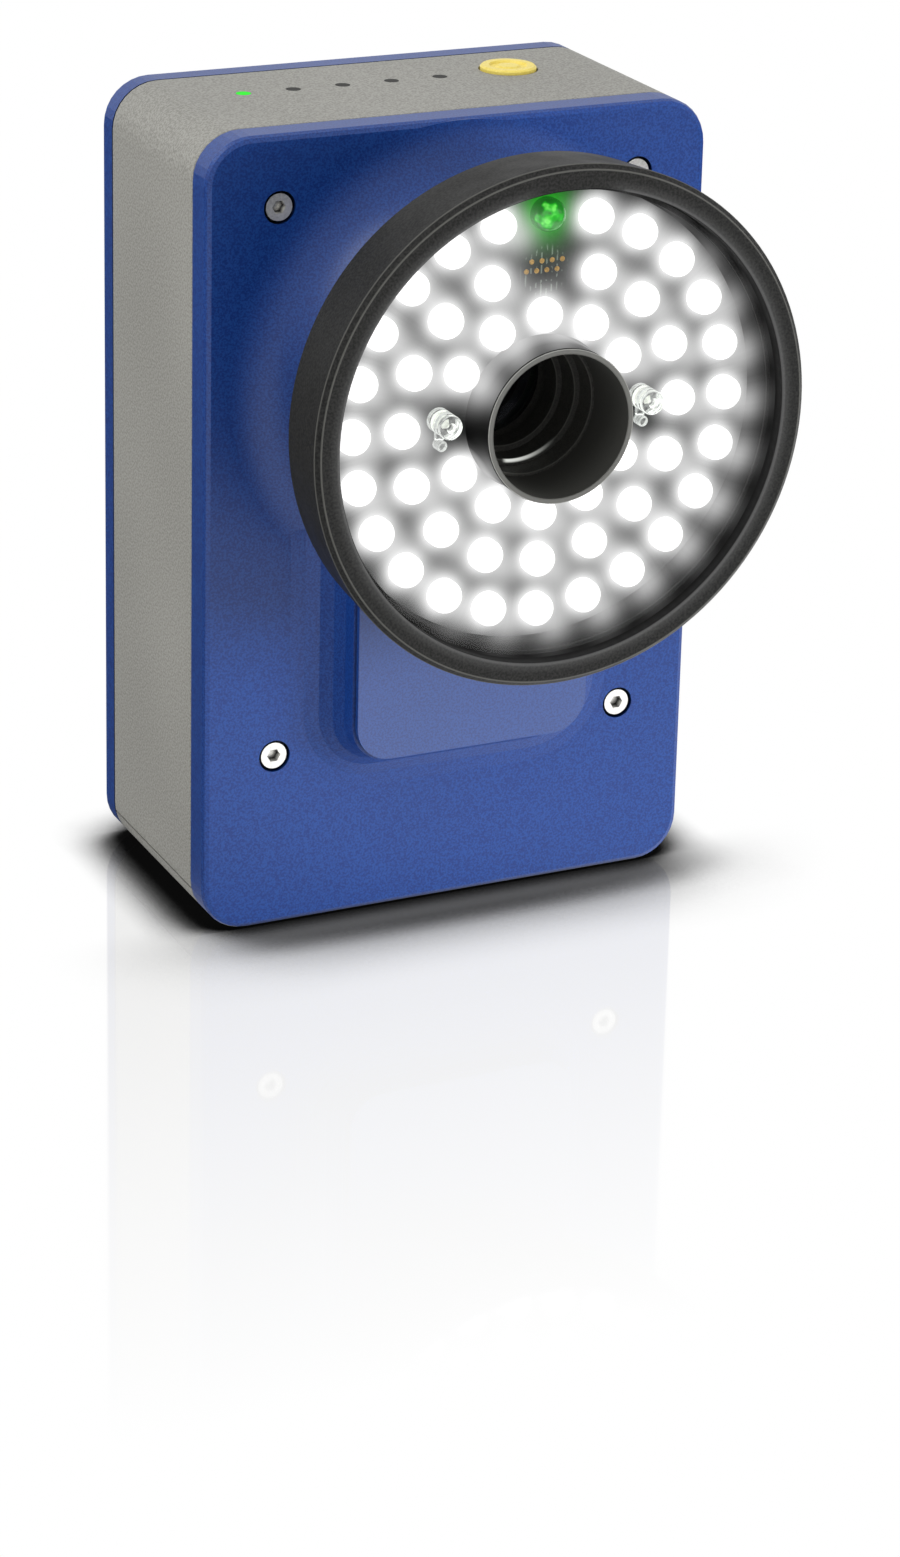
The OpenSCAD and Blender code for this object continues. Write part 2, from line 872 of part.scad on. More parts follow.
module main_board_screws() {
    color(steel)
    for (sx = [-1, 1], z = [main_z0 + main_post_in, main_z1 - main_post_in])
        translate([sx*main_post_x, main_y - low_head, z])
            rotate([90, 0, 0])
                cap_screw(board_screw, low_head);
}

module processor() {
    color([0.15, 0.15, 0.16])
    translate([-cpu_w/2, main_y + board_t, cpu_z - cpu_w/2])
        cube([cpu_w, cpu_t, cpu_w]);
}

module processor_pad() {
    color([0.60, 0.62, 0.66])
    translate([-cpu_w/2 + 1, main_y + board_t + cpu_t, cpu_z - cpu_w/2 + 1])
        cube([cpu_w - 2, gap_pad_t, cpu_w - 2]);
}

module io_board() {
    color(green_board)
    translate([-io_w/2, io_y, io_z0])
        cube([io_w, board_t, io_z1 - io_z0]);
}

// Round machine connector: threaded shell with a hexagon flange against the rear face
module plug_shell(x) {
    color([0.78, 0.78, 0.76])
    difference() {
        union() {
            bar_y(x, in_rear - nut_t - 0.8, plug_z, plug_neck, rear_t + nut_t + 0.81);
            translate([x, rear_y, plug_z])
                rotate([-90, 30, 0])
                    cylinder(h = flange_t, r = flange_r, $fn = 6);
            bar_y(x, rear_y + flange_t - 0.01, plug_z, plug_r, plug_out - flange_t + 0.01);
        }
        bar_y(x, in_rear - nut_t - 2, plug_z, insert_r + fit, plug_out + rear_t + nut_t + 4);
    }
}

module plug_insert(x, socket) {
    color(black)
    difference() {
        bar_y(x, io_y + board_t, plug_z, insert_r, insert_end - io_y - board_t);
        for (a = [45 : 90 : 315])
            bar_y(x + pin_pcd*cos(a), socket ? insert_end - 5 : io_y, plug_z + pin_pcd*sin(a),
                pin_r + 0.1, plug_out + body_d);
    }
}

module power_connector() {
    plug_shell(-plug_x);
}

module power_insert() {
    plug_insert(-plug_x, false);
}

module power_pins() {
    color(gold)
    for (a = [45 : 90 : 315])
        bar_y(-plug_x + pin_pcd*cos(a), io_y + board_t, plug_z + pin_pcd*sin(a), pin_r,
            insert_end + pin_out - io_y - board_t);
}

module network_connector() {
    plug_shell(plug_x);
}

module network_insert() {
    plug_insert(plug_x, true);
}

module network_pins() {
    color(gold)
    for (a = [45 : 90 : 315])
        bar_y(plug_x + pin_pcd*cos(a), insert_end - 4.8, plug_z + pin_pcd*sin(a), pin_r, 3.6);
}

module connector_seals() {
    color(rubber_grey)
    for (sx = [-1, 1])
        difference() {
            bar_y(sx*plug_x, in_rear - 0.8, plug_z, nut_r - 1.2, 0.8);
            bar_y(sx*plug_x, in_rear - 2, plug_z, plug_neck + fit, 3);
        }
}

module connector_nuts() {
    color(steel)
    for (sx = [-1, 1])
        difference() {
            translate([sx*plug_x, in_rear - 0.8 - nut_t, plug_z])
                rotate([-90, 30, 0])
                    cylinder(h = nut_t, r = nut_r, $fn = 6);
            bar_y(sx*plug_x, in_rear - nut_t - 2, plug_z, plug_neck + fit, nut_t + 3);
        }
}

module indicator_board() {
    color(green_board)
    difference() {
        translate([-panel_w/2, panel_y0, panel_z])
            cube([panel_w, panel_y1 - panel_y0, board_t]);
        for (sx = [-1, 1])
            translate([sx*panel_screw_x, panel_screw_y, panel_z - 1])
                cylinder(h = board_t + 2, r = 1.2);
    }
}

module indicator_board_screws() {
    head = 1.4;
    color(steel)
    for (sx = [-1, 1])
        translate([sx*panel_screw_x, panel_screw_y, panel_z - head])
            union() {
                cylinder(h = head, r = 2);
                cylinder(h = head + board_t + 4, r = 1);
            }
}

module indicator_leds() {
    color([0.92, 0.92, 0.86])
    for (x = lamp_at)
        translate([x - 0.7, lamp_y - 0.8, panel_top])
            cube([1.4, 1.6, 0.7]);
}

module light_pipes() {
    color([0.82, 0.84, 0.80])
    for (x = lamp_at)
        translate([x, lamp_y, panel_top + 1])
            union() {
                cylinder(h = body_h - panel_top - 1, r = lamp_r, $fn = 32);
                cylinder(h = ceil_z - panel_top - 1, r = lamp_r*0.8 + 0.9, $fn = 32);
            }
}

module push_button() {
    dish = 0.63;
    color(yellow)
    translate([button_x, button_y, 0])
        rotate_extrude()
            polygon([[0, stem_z], [plunger_r, stem_z], [plunger_r, button_seat - button_flange],
                [button_flange_r, button_seat - button_flange], [button_flange_r, button_seat],
                [button_r, button_seat], [button_r, body_h + button_up - 0.4],
                [button_r - 0.4, body_h + button_up], [button_r*dish + 0.3, body_h + button_up],
                [button_r*dish, body_h + button_up - 0.5],
                [button_r*dish*0.72, body_h + button_up - 0.5],
                [button_r*dish*0.55, body_h + button_up - 0.1], [0, body_h + button_up]]);
}

module button_seal() {
    color(rubber_grey)
    translate([button_x, button_y, seal_z + 0.05])
        difference() {
            cylinder(h = seal_h - 0.1, r = button_r + run + seal_w - 0.1);
            translate([0, 0, -1])
                cylinder(h = seal_h + 2, r = button_r + run);
        }
}

module button_switch() {
    color([0.25, 0.25, 0.26])
    translate([button_x, button_y, panel_top])
        union() {
            translate([-switch_w/2, -switch_w/2, 0])
                cube([switch_w, switch_w, switch_h]);
            cylinder(h = switch_h + plunger_h, r = plunger_r);
        }
}

front_cover();
front_cover_screws();
front_gasket();
main_housing();
bottom_plate();
bottom_gasket();
bottom_plate_screws();
rear_cover();
rear_gasket();
rear_cover_screws();
ring_housing();
ring_screws();
ring_thermal_pad();
led_board();
led_packages();
led_lenses();
spot_led();
aimer_lenses();
contact_pads();
ring_window();
window_seal();
baffle_tube();
lens_barrel();
front_retaining_ring();
front_lens();
focus_module();
rear_lens();
rear_retaining_ring();
lens_holder();
lens_holder_screws();
sensor_board();
image_sensor();
sensor_glass();
main_board();
main_board_posts();
main_board_screws();
processor();
processor_pad();
io_board();
power_connector();
power_insert();
power_pins();
network_connector();
network_insert();
network_pins();
connector_seals();
connector_nuts();
indicator_board();
indicator_board_screws();
indicator_leds();
light_pipes();
push_button();
button_seal();
button_switch();
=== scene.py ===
# %% [markdown]
# # A fixed barcode reader
# The reader is a grey box between two blue covers. A black ring light stands
# in front of it on a flared boss, and a lens looks out through the middle.
# The measured solids are loaded first and stay where they are. This lesson
# gives them their finishes, and models again the few pieces that need finer
# shapes than the measured solids have: the lit lenses, the board they stand
# on, the window and the small clear lenses.

# %% Load the measured solids
from functools import reduce
from math import cos, exp, pi, radians, sin

import bmesh
import bpy
from mathutils import Matrix, Vector


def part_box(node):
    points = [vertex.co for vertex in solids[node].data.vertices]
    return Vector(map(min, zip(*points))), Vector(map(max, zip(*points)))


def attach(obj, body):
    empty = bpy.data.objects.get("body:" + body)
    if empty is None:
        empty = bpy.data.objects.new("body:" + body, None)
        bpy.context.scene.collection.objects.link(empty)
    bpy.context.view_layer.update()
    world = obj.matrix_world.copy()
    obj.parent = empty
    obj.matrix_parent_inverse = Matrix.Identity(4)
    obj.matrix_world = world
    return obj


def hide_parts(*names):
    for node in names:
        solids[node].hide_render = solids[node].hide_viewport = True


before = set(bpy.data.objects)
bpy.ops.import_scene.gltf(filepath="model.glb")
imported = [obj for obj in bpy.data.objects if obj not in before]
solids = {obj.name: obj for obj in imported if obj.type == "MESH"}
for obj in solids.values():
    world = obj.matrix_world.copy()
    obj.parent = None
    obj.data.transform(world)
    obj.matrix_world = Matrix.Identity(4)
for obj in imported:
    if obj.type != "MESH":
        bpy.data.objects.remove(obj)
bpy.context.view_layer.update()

MM = 0.001

# %% [markdown]
# ## The camera
# The photograph was taken from the reader's left, a little above it, with a
# long lens. The picture is taller than wide and the reader stands in its upper
# part, so the camera is shifted down by as much as that framing needs. The
# three directions below are the camera's right, its down and its forward; a
# Blender camera looks along its own -Z with +Y up, so two of them change sign.

# %% Place the camera
RIGHT = Vector((0.904650, -0.425552, 0.022683))
DOWN = Vector((-0.117565, -0.300376, -0.946548))
FORWARD = Vector((0.409619, 0.853627, -0.321765))
EYE = Vector((-0.34302, -0.74051, 0.35929))
PHOTO_HEIGHT = 1557
FOCAL_PIXELS = 4167.8
AIMED_ROW = 480
SENSOR_MM = 36.0

camera_data = bpy.data.cameras.new("camera")
camera = bpy.data.objects.new("camera", camera_data)
bpy.context.scene.collection.objects.link(camera)
turn = Matrix((RIGHT, -DOWN, -FORWARD)).transposed()
camera.matrix_world = Matrix.Translation(EYE) @ turn.to_4x4()
camera_data.sensor_width = SENSOR_MM
camera_data.lens = FOCAL_PIXELS*SENSOR_MM/PHOTO_HEIGHT
camera_data.shift_y = (AIMED_ROW - PHOTO_HEIGHT/2)/PHOTO_HEIGHT
camera_data.clip_start = 0.01
bpy.context.scene.camera = camera
bpy.context.scene.view_settings.view_transform = "Standard"
print("lens", round(camera_data.lens, 1), "mm, shift", round(camera_data.shift_y, 3))

# %% [markdown]
# ## Colours
# Colours are easier to judge as the 0 to 255 numbers of a picture. A shader
# takes linear numbers instead, in which a mid grey is only about a fifth of
# white, so one helper turns the first kind into the second.

# %% Colours
def tone(r, g, b):
    """Picture numbers from 0 to 255 as a linear colour."""
    parts = [c/255 for c in (r, g, b)]
    return tuple(c/12.92 if c <= 0.04045 else ((c + 0.055)/1.055)**2.4 for c in parts) + (1.0,)


def grey(level):
    """One linear number as a colour."""
    return (level, level, level, 1.0)


BLACK, WHITE = grey(0.0), grey(1.0)
print("a mid grey of 128 is", round(tone(128, 128, 128)[0], 3), "to a shader")

# %% [markdown]
# ## Nodes and patterns
# A finish is a tree of shader nodes. It can be wired in the editor, but a
# script needs it in code, so one helper adds a node with its settings and
# another wires it up. The noise of a finish reads Object coordinates: it is
# fixed to the piece, and its grain can be given in millimetres.

# %% Nodes and patterns
def add_node(tree, kind, **settings):
    """A new node with its settings and, by socket name, its values."""
    node = tree.nodes.new(kind)
    for name, value in settings.items():
        if hasattr(node, name):
            setattr(node, name, value)
        else:
            node.inputs[name].default_value = value
    return node


def feed(tree, socket, value):
    """Links a socket to another node's output, or sets it to a fixed value."""
    if isinstance(value, bpy.types.NodeSocket):
        tree.links.new(value, socket)
    else:
        socket.default_value = value


def on_piece(tree):
    """A point's place, fixed to the piece."""
    return add_node(tree, "ShaderNodeTexCoord").outputs["Object"]


def grain(tree, size, detail=2.0):
    """Noise fixed to the piece; size is the width of one grain in millimetres."""
    noise = add_node(tree, "ShaderNodeTexNoise", Scale=1/(size*MM), Detail=detail)
    tree.links.new(on_piece(tree), noise.inputs["Vector"])
    return noise.outputs["Fac"]


def ramp(tree, source, stops):
    """Turns a number into a colour; stops are pairs of position and colour."""
    node = add_node(tree, "ShaderNodeValToRGB")
    while len(node.color_ramp.elements) < len(stops):
        node.color_ramp.elements.new(0.5)
    for element, (position, colour) in zip(node.color_ramp.elements, stops):
        element.position = position
        element.color = colour
    tree.links.new(source, node.inputs["Fac"])
    return node.outputs["Color"]


print("patterns are given in steps of", MM, "m")

# %% [markdown]
# ## Finishes
# Every finish starts from Blender's Principled shader, which knows metal,
# paint, plastic and glass. These helpers make a finish, raise its surface a
# little by a pattern, and give it to measured solids in place of the plain one
# that they were loaded with.

# %% Finishes
def new_finish(name):
    """A finish with its node tree and its main shader."""
    finish = bpy.data.materials.new(name)
    finish.use_nodes = True
    tree = finish.node_tree
    return finish, tree, tree.nodes["Principled BSDF"]


def bump(tree, source, shader, strength, height=0.05):
    """Raises the surface where source is high; height is in millimetres."""
    node = add_node(tree, "ShaderNodeBump", Strength=strength, Distance=height*MM)
    tree.links.new(source, node.inputs["Height"])
    tree.links.new(node.outputs["Normal"], shader.inputs["Normal"])


def dress(finish, *names):
    """Gives a finish to measured solids by name."""
    for name in names:
        mesh = solids[name].data
        mesh.materials.clear()
        mesh.materials.append(finish)
    print(finish.name, "on", ", ".join(names))


print(len(solids), "solids to dress")

# %% [markdown]
# ## Grainy paint
# The housing and the covers are metal with a fine textured paint. Close up it
# is a field of tiny light and dark specks with a soft sheen. One noise drives
# the specks, a coarser one shifts the tone over a few centimetres as sprayed
# paint does, and the fine one also raises the surface slightly so that
# highlights break up.

# %% Grey and blue paint
CLOUD = 45.0


def mix(tree, factor, first, second, how="MIX"):
    """A mix of two colours."""
    node = add_node(tree, "ShaderNodeMix", data_type="RGBA", blend_type=how)
    for name, value in (("Factor", factor), ("A", first), ("B", second)):
        feed(tree, node.inputs[name], value)
    return node.outputs["Result"]


def grainy_paint(name, dark, light, speck, sheen, gloss, relief):
    """Textured paint between two tones; speck is the grain in millimetres."""
    finish, tree, shader = new_finish(name)
    fine = grain(tree, speck, 3.0)
    colour = ramp(tree, fine, [(0.40, dark), (0.60, light)])
    shade = ramp(tree, grain(tree, CLOUD, 1.0), [(0.3, grey(0.93)), (0.7, grey(1.05))])
    tree.links.new(mix(tree, 1.0, colour, shade, "MULTIPLY"), shader.inputs["Base Color"])
    shader.inputs["Roughness"].default_value = gloss
    shader.inputs["Specular IOR Level"].default_value = sheen
    bump(tree, fine, shader, relief)
    return finish


grey_paint = grainy_paint("grey_paint", tone(136, 135, 129), tone(163, 162, 156),
                          speck=0.45, sheen=0.3, gloss=0.55, relief=0.4)
blue_paint = grainy_paint("blue_paint", tone(6, 47, 119), tone(21, 68, 143),
                          speck=0.42, sheen=0.5, gloss=0.40, relief=0.38)
dress(grey_paint, "main_housing", "bottom_plate")
dress(blue_paint, "front_cover", "rear_cover")

# %% [markdown]
# ## Black metal, steel and rubber
# The ring light and the tube inside it are black anodised aluminium: almost
# no colour, a satin surface and a very fine grain. Screws are bright steel
# with faint smears, and seals are dull rubber. All four differ only in their
# numbers, so one function makes them: a fine noise for the tone and the
# relief, and a coarser one that makes the gloss uneven.

# %% Black metal, steel and rubber
SPECKS_PER_SMEAR = 14


def spread(tree, source, stops, socket="Base Color"):
    """Gives a socket of the main shader the colours of a ramp."""
    tree.links.new(ramp(tree, source, stops), tree.nodes["Principled BSDF"].inputs[socket])


def satin(name, dark, light, speck, gloss, sheen=0.5, metal=0.0, relief=0.2):
    """A fine-grained satin surface between two tones; speck is in millimetres."""
    finish, tree, shader = new_finish(name)
    fine = grain(tree, speck)
    spread(tree, fine, [(0.35, dark), (0.65, light)])
    smear = grain(tree, speck*SPECKS_PER_SMEAR)
    spread(tree, smear, [(0.3, grey(gloss*0.88)), (0.7, grey(gloss*1.12))], "Roughness")
    shader.inputs["Metallic"].default_value = metal
    shader.inputs["Specular IOR Level"].default_value = sheen
    bump(tree, fine, shader, relief)
    return finish


black_metal = satin("black_metal", tone(34, 34, 34), tone(50, 50, 49),
                    speck=0.5, gloss=0.45, sheen=0.05)
tube_black = satin("tube_black", tone(52, 52, 49), tone(70, 70, 66),
                   speck=0.4, gloss=0.6, sheen=0.4)
steel = satin("steel", tone(222, 221, 216), tone(244, 243, 238),
              speck=0.6, gloss=0.32, metal=0.65, relief=0.05)
rubber = satin("rubber", tone(20, 20, 20), tone(34, 34, 33), speck=0.3, gloss=0.8, sheen=0.2)
dress(black_metal, "ring_housing")
dress(tube_black, "baffle_tube", "lens_barrel", "front_retaining_ring", "rear_retaining_ring",
      "lens_holder")
dress(steel, "front_cover_screws", "rear_cover_screws", "bottom_plate_screws", "ring_screws",
      "lens_holder_screws", "main_board_screws", "indicator_board_screws", "connector_nuts")
dress(rubber, "front_gasket", "rear_gasket", "bottom_gasket", "window_seal", "connector_seals",
      "button_seal")

# %% [markdown]
# ## Places round the axis
# The ring light, its tube and the pieces in it are turned round one axis, which
# runs from front to back. A point on them is best told by its radius from that
# axis and its depth. The finish works both out from Object coordinates, so one
# solid can have several tones without being cut up.

# %% Places round the axis
ring_low, ring_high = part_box("ring_housing")
AXIS_Z = (ring_low[2] + ring_high[2])/2
RING_R = (ring_high[0] - ring_low[0])/2
RIM_Y = ring_low[1]


def calc(tree, operation, *values):
    """A Math node on numbers or on other nodes' outputs."""
    node = add_node(tree, "ShaderNodeMath", operation=operation)
    for socket, value in zip(node.inputs, values):
        feed(tree, socket, value)
    return node.outputs["Value"]


def xyz(tree):
    """The three parts of a point's place, fixed to the piece."""
    split = add_node(tree, "ShaderNodeSeparateXYZ")
    tree.links.new(on_piece(tree), split.inputs["Vector"])
    return [split.outputs[name] for name in "XYZ"]


def apart(tree, first, second, at_first, at_second):
    """Distance in a plane from a fixed place."""
    point = add_node(tree, "ShaderNodeCombineXYZ")
    tree.links.new(first, point.inputs["X"])
    tree.links.new(second, point.inputs["Y"])
    away = add_node(tree, "ShaderNodeVectorMath", operation="DISTANCE")
    away.inputs[1].default_value = (at_first, at_second, 0)
    tree.links.new(point.outputs["Vector"], away.inputs[0])
    return away.outputs["Value"]


def from_axis(tree):
    """A point's place across, its height over the axis, its radius and its depth."""
    across, depth, up = xyz(tree)
    height = calc(tree, "SUBTRACT", up, AXIS_Z)
    return across, height, apart(tree, across, height, 0.0, 0.0), depth


print("axis at height", round(AXIS_Z, 4), "and rim of radius", round(RING_R, 4))

# %% [markdown]
# ## The inside of the ring light
# Outside, the ring light is satin. Inside the cup it is painted near black and
# dull, much darker than outside: painted shade for the deep cup. The bore of its
# tube is a dull dark grey.
# These are surfaces of one solid, so a smooth step on the radius lays a second
# tone and gloss over the first.

# %% The inside of the ring light
CUP_R = 46.9*MM
BORE_R = 14.3*MM
TUBE_WALL = 1.0*MM
BLUR = 0.1*MM


def stretch(tree, value, start, end, low=0.0, high=1.0, way="LINEAR"):
    """Runs from low, where the value is start, to high, where it is end."""
    node = add_node(tree, "ShaderNodeMapRange", interpolation_type=way)
    for name, number in (("From Min", start), ("From Max", end), ("To Min", low), ("To Max", high)):
        node.inputs[name].default_value = number
    tree.links.new(value, node.inputs["Value"])
    return node.outputs["Result"]


def between(tree, value, start, end):
    """A smooth step from 0 at start to 1 at end."""
    return stretch(tree, value, start, end, way="SMOOTHSTEP")


def over(tree, factor, colour, socket="Base Color"):
    """Lays a colour, or a grey for a number, over what the finish has there so far."""
    target = tree.nodes["Principled BSDF"].inputs[socket]
    so_far = target.links[0].from_socket
    tree.links.new(mix(tree, factor, so_far, colour), target)


def inside(finish, limit, colour, roughness):
    """Gives all that lies nearer to the axis than the limit another tone and gloss."""
    tree = finish.node_tree
    _, _, radius, _ = from_axis(tree)
    near = between(tree, radius, limit + BLUR, limit - BLUR)
    over(tree, near, colour)
    over(tree, near, grey(roughness), "Roughness")


# painted shade: the inside of the cup is painted near black and dull
inside(black_metal, CUP_R, tone(9, 9, 9), roughness=0.6)
inside(black_metal, BORE_R + 0.15*MM, tone(70, 70, 67), roughness=0.75)
print("dull inside radius", round(CUP_R, 4), "and in a bore of radius", BORE_R)

# %% [markdown]
# ## Painted edge highlights
# The ring light's sharp edges catch the light as fine light lines, and here these
# are painted highlights. Such lines are often painted by hand, but every edge of a
# turned piece is a circle with one radius and one depth. The finish measures
# how far a point is from those circles and is painted light where it is very near.

# %% Painted edge highlights
RIM_BEVEL = 1.0*MM
WINDOW_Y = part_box("ring_window")[0][1]
LIP_Y = WINDOW_Y - 0.3*MM
FIRST_STEP, NEXT_STEP = 0.6*MM, 1.2*MM


def on_edge(tree, radius, depth, edge, width):
    """High near one circle round the axis; edge is its radius and depth."""
    return between(tree, apart(tree, radius, depth, *edge), width*MM, width*MM*0.3)


def paint_edge_highlight(finish, edge, width, colour):
    """Paints a highlight along one circle; width is in millimetres."""
    tree = finish.node_tree
    _, _, radius, depth = from_axis(tree)
    over(tree, on_edge(tree, radius, depth, edge, width), colour)


# painted highlights: fine light lines on the rim's two edges
for edge in ((RING_R, RIM_Y + RIM_BEVEL), (RING_R - RIM_BEVEL, RIM_Y)):
    paint_edge_highlight(black_metal, edge, 0.28, tone(86, 86, 83))
# painted highlights: light lines on the lip of the tube
paint_edge_highlight(black_metal, (BORE_R + TUBE_WALL/2, LIP_Y), 0.7, tone(104, 104, 101))
paint_edge_highlight(black_metal, (BORE_R + TUBE_WALL, LIP_Y), 0.2, tone(150, 150, 146))

low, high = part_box("baffle_tube")
baffle_len = high[1] - low[1]
baffle_edges = [(BORE_R - FIRST_STEP - NEXT_STEP*i, high[1] - baffle_len*share)
                for i, share in enumerate((1.0, 0.68, 0.34))]
# painted highlights: light lines on the edges of the baffle's steps
for edge in baffle_edges:
    paint_edge_highlight(tube_black, edge, 0.3, tone(92, 92, 88))
print("painted edge highlights on", black_metal.name, "and", tube_black.name)

# %% [markdown]
# ## A glint in the bore
# One edge deep in the bore catches a bright glint on its lower part. A lamp
# that lights just this edge would light the rest of the bore too, so the edge
# glows by itself. Its light is a product of smooth steps: near the circle, low
# enough, and between two places across.

# %% A glint in the bore
GLINT_DROP = 6*MM


def all_of(tree, *parts):
    """The product of several numbers: high only where all of them are."""
    return reduce(lambda total, part: calc(tree, "MULTIPLY", total, part), parts)


def glow(tree, source, stops, strength=1.0):
    """Makes a finish shine by itself in the colours of a ramp."""
    spread(tree, source, stops, "Emission Color")
    tree.nodes["Principled BSDF"].inputs["Emission Strength"].default_value = strength


def glint(finish, edge, width, colour, start, full, end):
    """Lights the lower part of one circle, between three places across."""
    tree = finish.node_tree
    across, height, radius, depth = from_axis(tree)
    lit = all_of(tree, on_edge(tree, radius, depth, edge, width),
                 between(tree, height, 0.0, -GLINT_DROP),
                 between(tree, across, start, full), between(tree, across, end, full))
    glow(tree, lit, [(0.0, BLACK), (1.0, colour)])


glint(tube_black, baffle_edges[1], 0.75, tone(215, 218, 212),
      start=-2.8*MM, full=-1.6*MM, end=9.0*MM)
print("glint at radius", round(baffle_edges[1][0], 4))

# %% [markdown]
# ## Dark hollows
# The sockets of the screws, the bores they sit in and the tight corners of the
# covers look almost black. Light alone leaves them too pale in a white room. An
# ambient occlusion node measures how closed in a point is, and the finish
# darkens there.

# %% Dark hollows
def shade_hollows(finish, reach, colour):
    """Darkens sockets, bores and tight corners; reach is in millimetres."""
    tree = finish.node_tree
    hollow = add_node(tree, "ShaderNodeAmbientOcclusion", samples=8, Distance=reach*MM)
    over(tree, between(tree, hollow.outputs["AO"], 0.72, 0.35), colour)


shade_hollows(steel, 1.6, tone(16, 16, 15))
shade_hollows(blue_paint, 2.0, tone(2, 10, 34))
print("dark hollows on", steel.name, "and", blue_paint.name)

# %% [markdown]
# ## The raised pad
# The flat pad below the ring light is painted a little paler than the plate
# round it, a painted highlight where its face catches more light. It belongs to
# the same solid as the plate, so the finish tells it by its depth, its width and
# its height over the floor.

# %% The raised pad
PAD_AHEAD, PAD_HALF, PAD_TOP, PAD_FADE = 11*MM, 26*MM, 80*MM, 8*MM
PAD_Y = -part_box("rear_cover")[1][1] - PAD_AHEAD
PAD_HIGHLIGHT, PAD_HIGHLIGHT_SHARE = (0.85, 0.9, 1.0, 1), 0.06
tree = blue_paint.node_tree
across, height, _, depth = from_axis(tree)
off_middle = calc(tree, "ABSOLUTE", across)
on_pad = all_of(tree, between(tree, depth, PAD_Y + 3*BLUR, PAD_Y + BLUR),
                between(tree, off_middle, PAD_HALF + BLUR, PAD_HALF - BLUR),
                between(tree, height, PAD_TOP - AXIS_Z, PAD_TOP - AXIS_Z - PAD_FADE))
# painted highlight: the pad's face is painted a little paler
over(tree, all_of(tree, on_pad, PAD_HIGHLIGHT_SHARE), PAD_HIGHLIGHT)
print("pad at y", round(PAD_Y, 4))

# %% [markdown]
# ## Boards and inner pieces
# The boards, chips and pads are shut inside the housing, so their finishes are
# simple versions of the satin one: a green mask, moulded black plastic, soft
# pads and plated metal.

# %% Boards and inner pieces
board_green = satin("board_green", tone(14, 62, 38), tone(22, 82, 50), speck=1.2, gloss=0.35)
chip_black = satin("chip_black", tone(26, 26, 28), tone(36, 36, 38),
                   speck=0.3, gloss=0.6, sheen=0.3)
soft_pad = satin("soft_pad", tone(142, 144, 148), tone(156, 158, 162),
                 speck=0.8, gloss=0.8, sheen=0.2)
gold = satin("gold", tone(214, 168, 72), tone(236, 196, 104),
             speck=0.4, gloss=0.28, metal=1.0, relief=0.05)
brass = satin("brass", tone(190, 158, 82), tone(214, 184, 108),
              speck=0.5, gloss=0.3, metal=1.0, relief=0.05)
pad_gold = satin("pad_gold", tone(156, 120, 50), tone(196, 156, 78),
                 speck=0.3, gloss=0.45, sheen=0.4, metal=0.6, relief=0.05)
package_white = satin("package_white", tone(214, 216, 208), tone(232, 234, 226),
                      speck=0.4, gloss=0.5)
dress(board_green, "sensor_board", "main_board", "io_board", "indicator_board")
dress(chip_black, "focus_module", "image_sensor", "processor", "button_switch", "power_insert",
      "network_insert")
dress(soft_pad, "ring_thermal_pad", "processor_pad")
dress(gold, "power_pins", "network_pins")
dress(pad_gold, "contact_pads")
dress(brass, "main_board_posts")
dress(package_white, "led_packages", "indicator_leds")

# %% [markdown]
# ## Threaded connectors
# The two round connectors at the rear are nickel-plated brass with a fine
# thread. A real helix would need thousands of faces for something that is one
# millimetre wide, so the thread is a band pattern along the connector that
# only tilts the surface. Blender's wave pattern turns by 20 radians per unit
# at a scale of 1, so that number is divided out to get a pitch in millimetres.

# %% Threaded connectors
WAVE_RADIANS = 20


def bands(tree, direction, pitch):
    """Soft bands across X or Y; pitch is in millimetres."""
    wave = add_node(tree, "ShaderNodeTexWave", bands_direction=direction,
                    Scale=2*pi/WAVE_RADIANS/(pitch*MM))
    tree.links.new(on_piece(tree), wave.inputs["Vector"])
    return wave.outputs["Fac"]


nickel, tree, shader = new_finish("nickel_thread")
spread(tree, grain(tree, 0.6), [(0.35, tone(186, 184, 176)), (0.65, tone(208, 206, 198))])
shader.inputs["Metallic"].default_value = 1.0
shader.inputs["Roughness"].default_value = 0.28
bump(tree, bands(tree, "Y", pitch=1.0), shader, strength=0.6, height=0.25)
dress(nickel, "power_connector", "network_connector")

# %% [markdown]
# ## The button and the indicators
# The button is satin yellow plastic. The indicators are the ends of clear
# rods; the first one is lit green and the others are dark. All five rods are
# one solid, so the finish tells the first one by its place along X.

# %% The button and the indicators
LIT_X = -27*MM
yellow = satin("yellow_plastic", tone(240, 216, 96), tone(250, 230, 122),
               speck=0.5, gloss=0.4, sheen=0.4)
dress(yellow, "push_button")

pipe, tree, shader = new_finish("light_pipe")
across, _, _ = xyz(tree)
lit = calc(tree, "LESS_THAN", across, LIT_X)
spread(tree, lit, [(0.0, tone(40, 40, 38)), (1.0, tone(20, 190, 20))])
glow(tree, lit, [(0.0, BLACK), (1.0, tone(10, 215, 20))], strength=0.6)
shader.inputs["Roughness"].default_value = 0.5
shader.inputs["Specular IOR Level"].default_value = 0.08
dress(pipe, "light_pipes")

# %% [markdown]
# ## Where the lamps stand
# The ring light has three circles of lamps. The outer one has twenty-four
# places, the middle one sixteen and the inner one twelve, and each circle has
# one place at the very top. The top of the outer circle is the green spot, the
# top of the middle one holds bare contact pads, and the inner circle leaves its
# left and right places free for two clear aiming lenses.

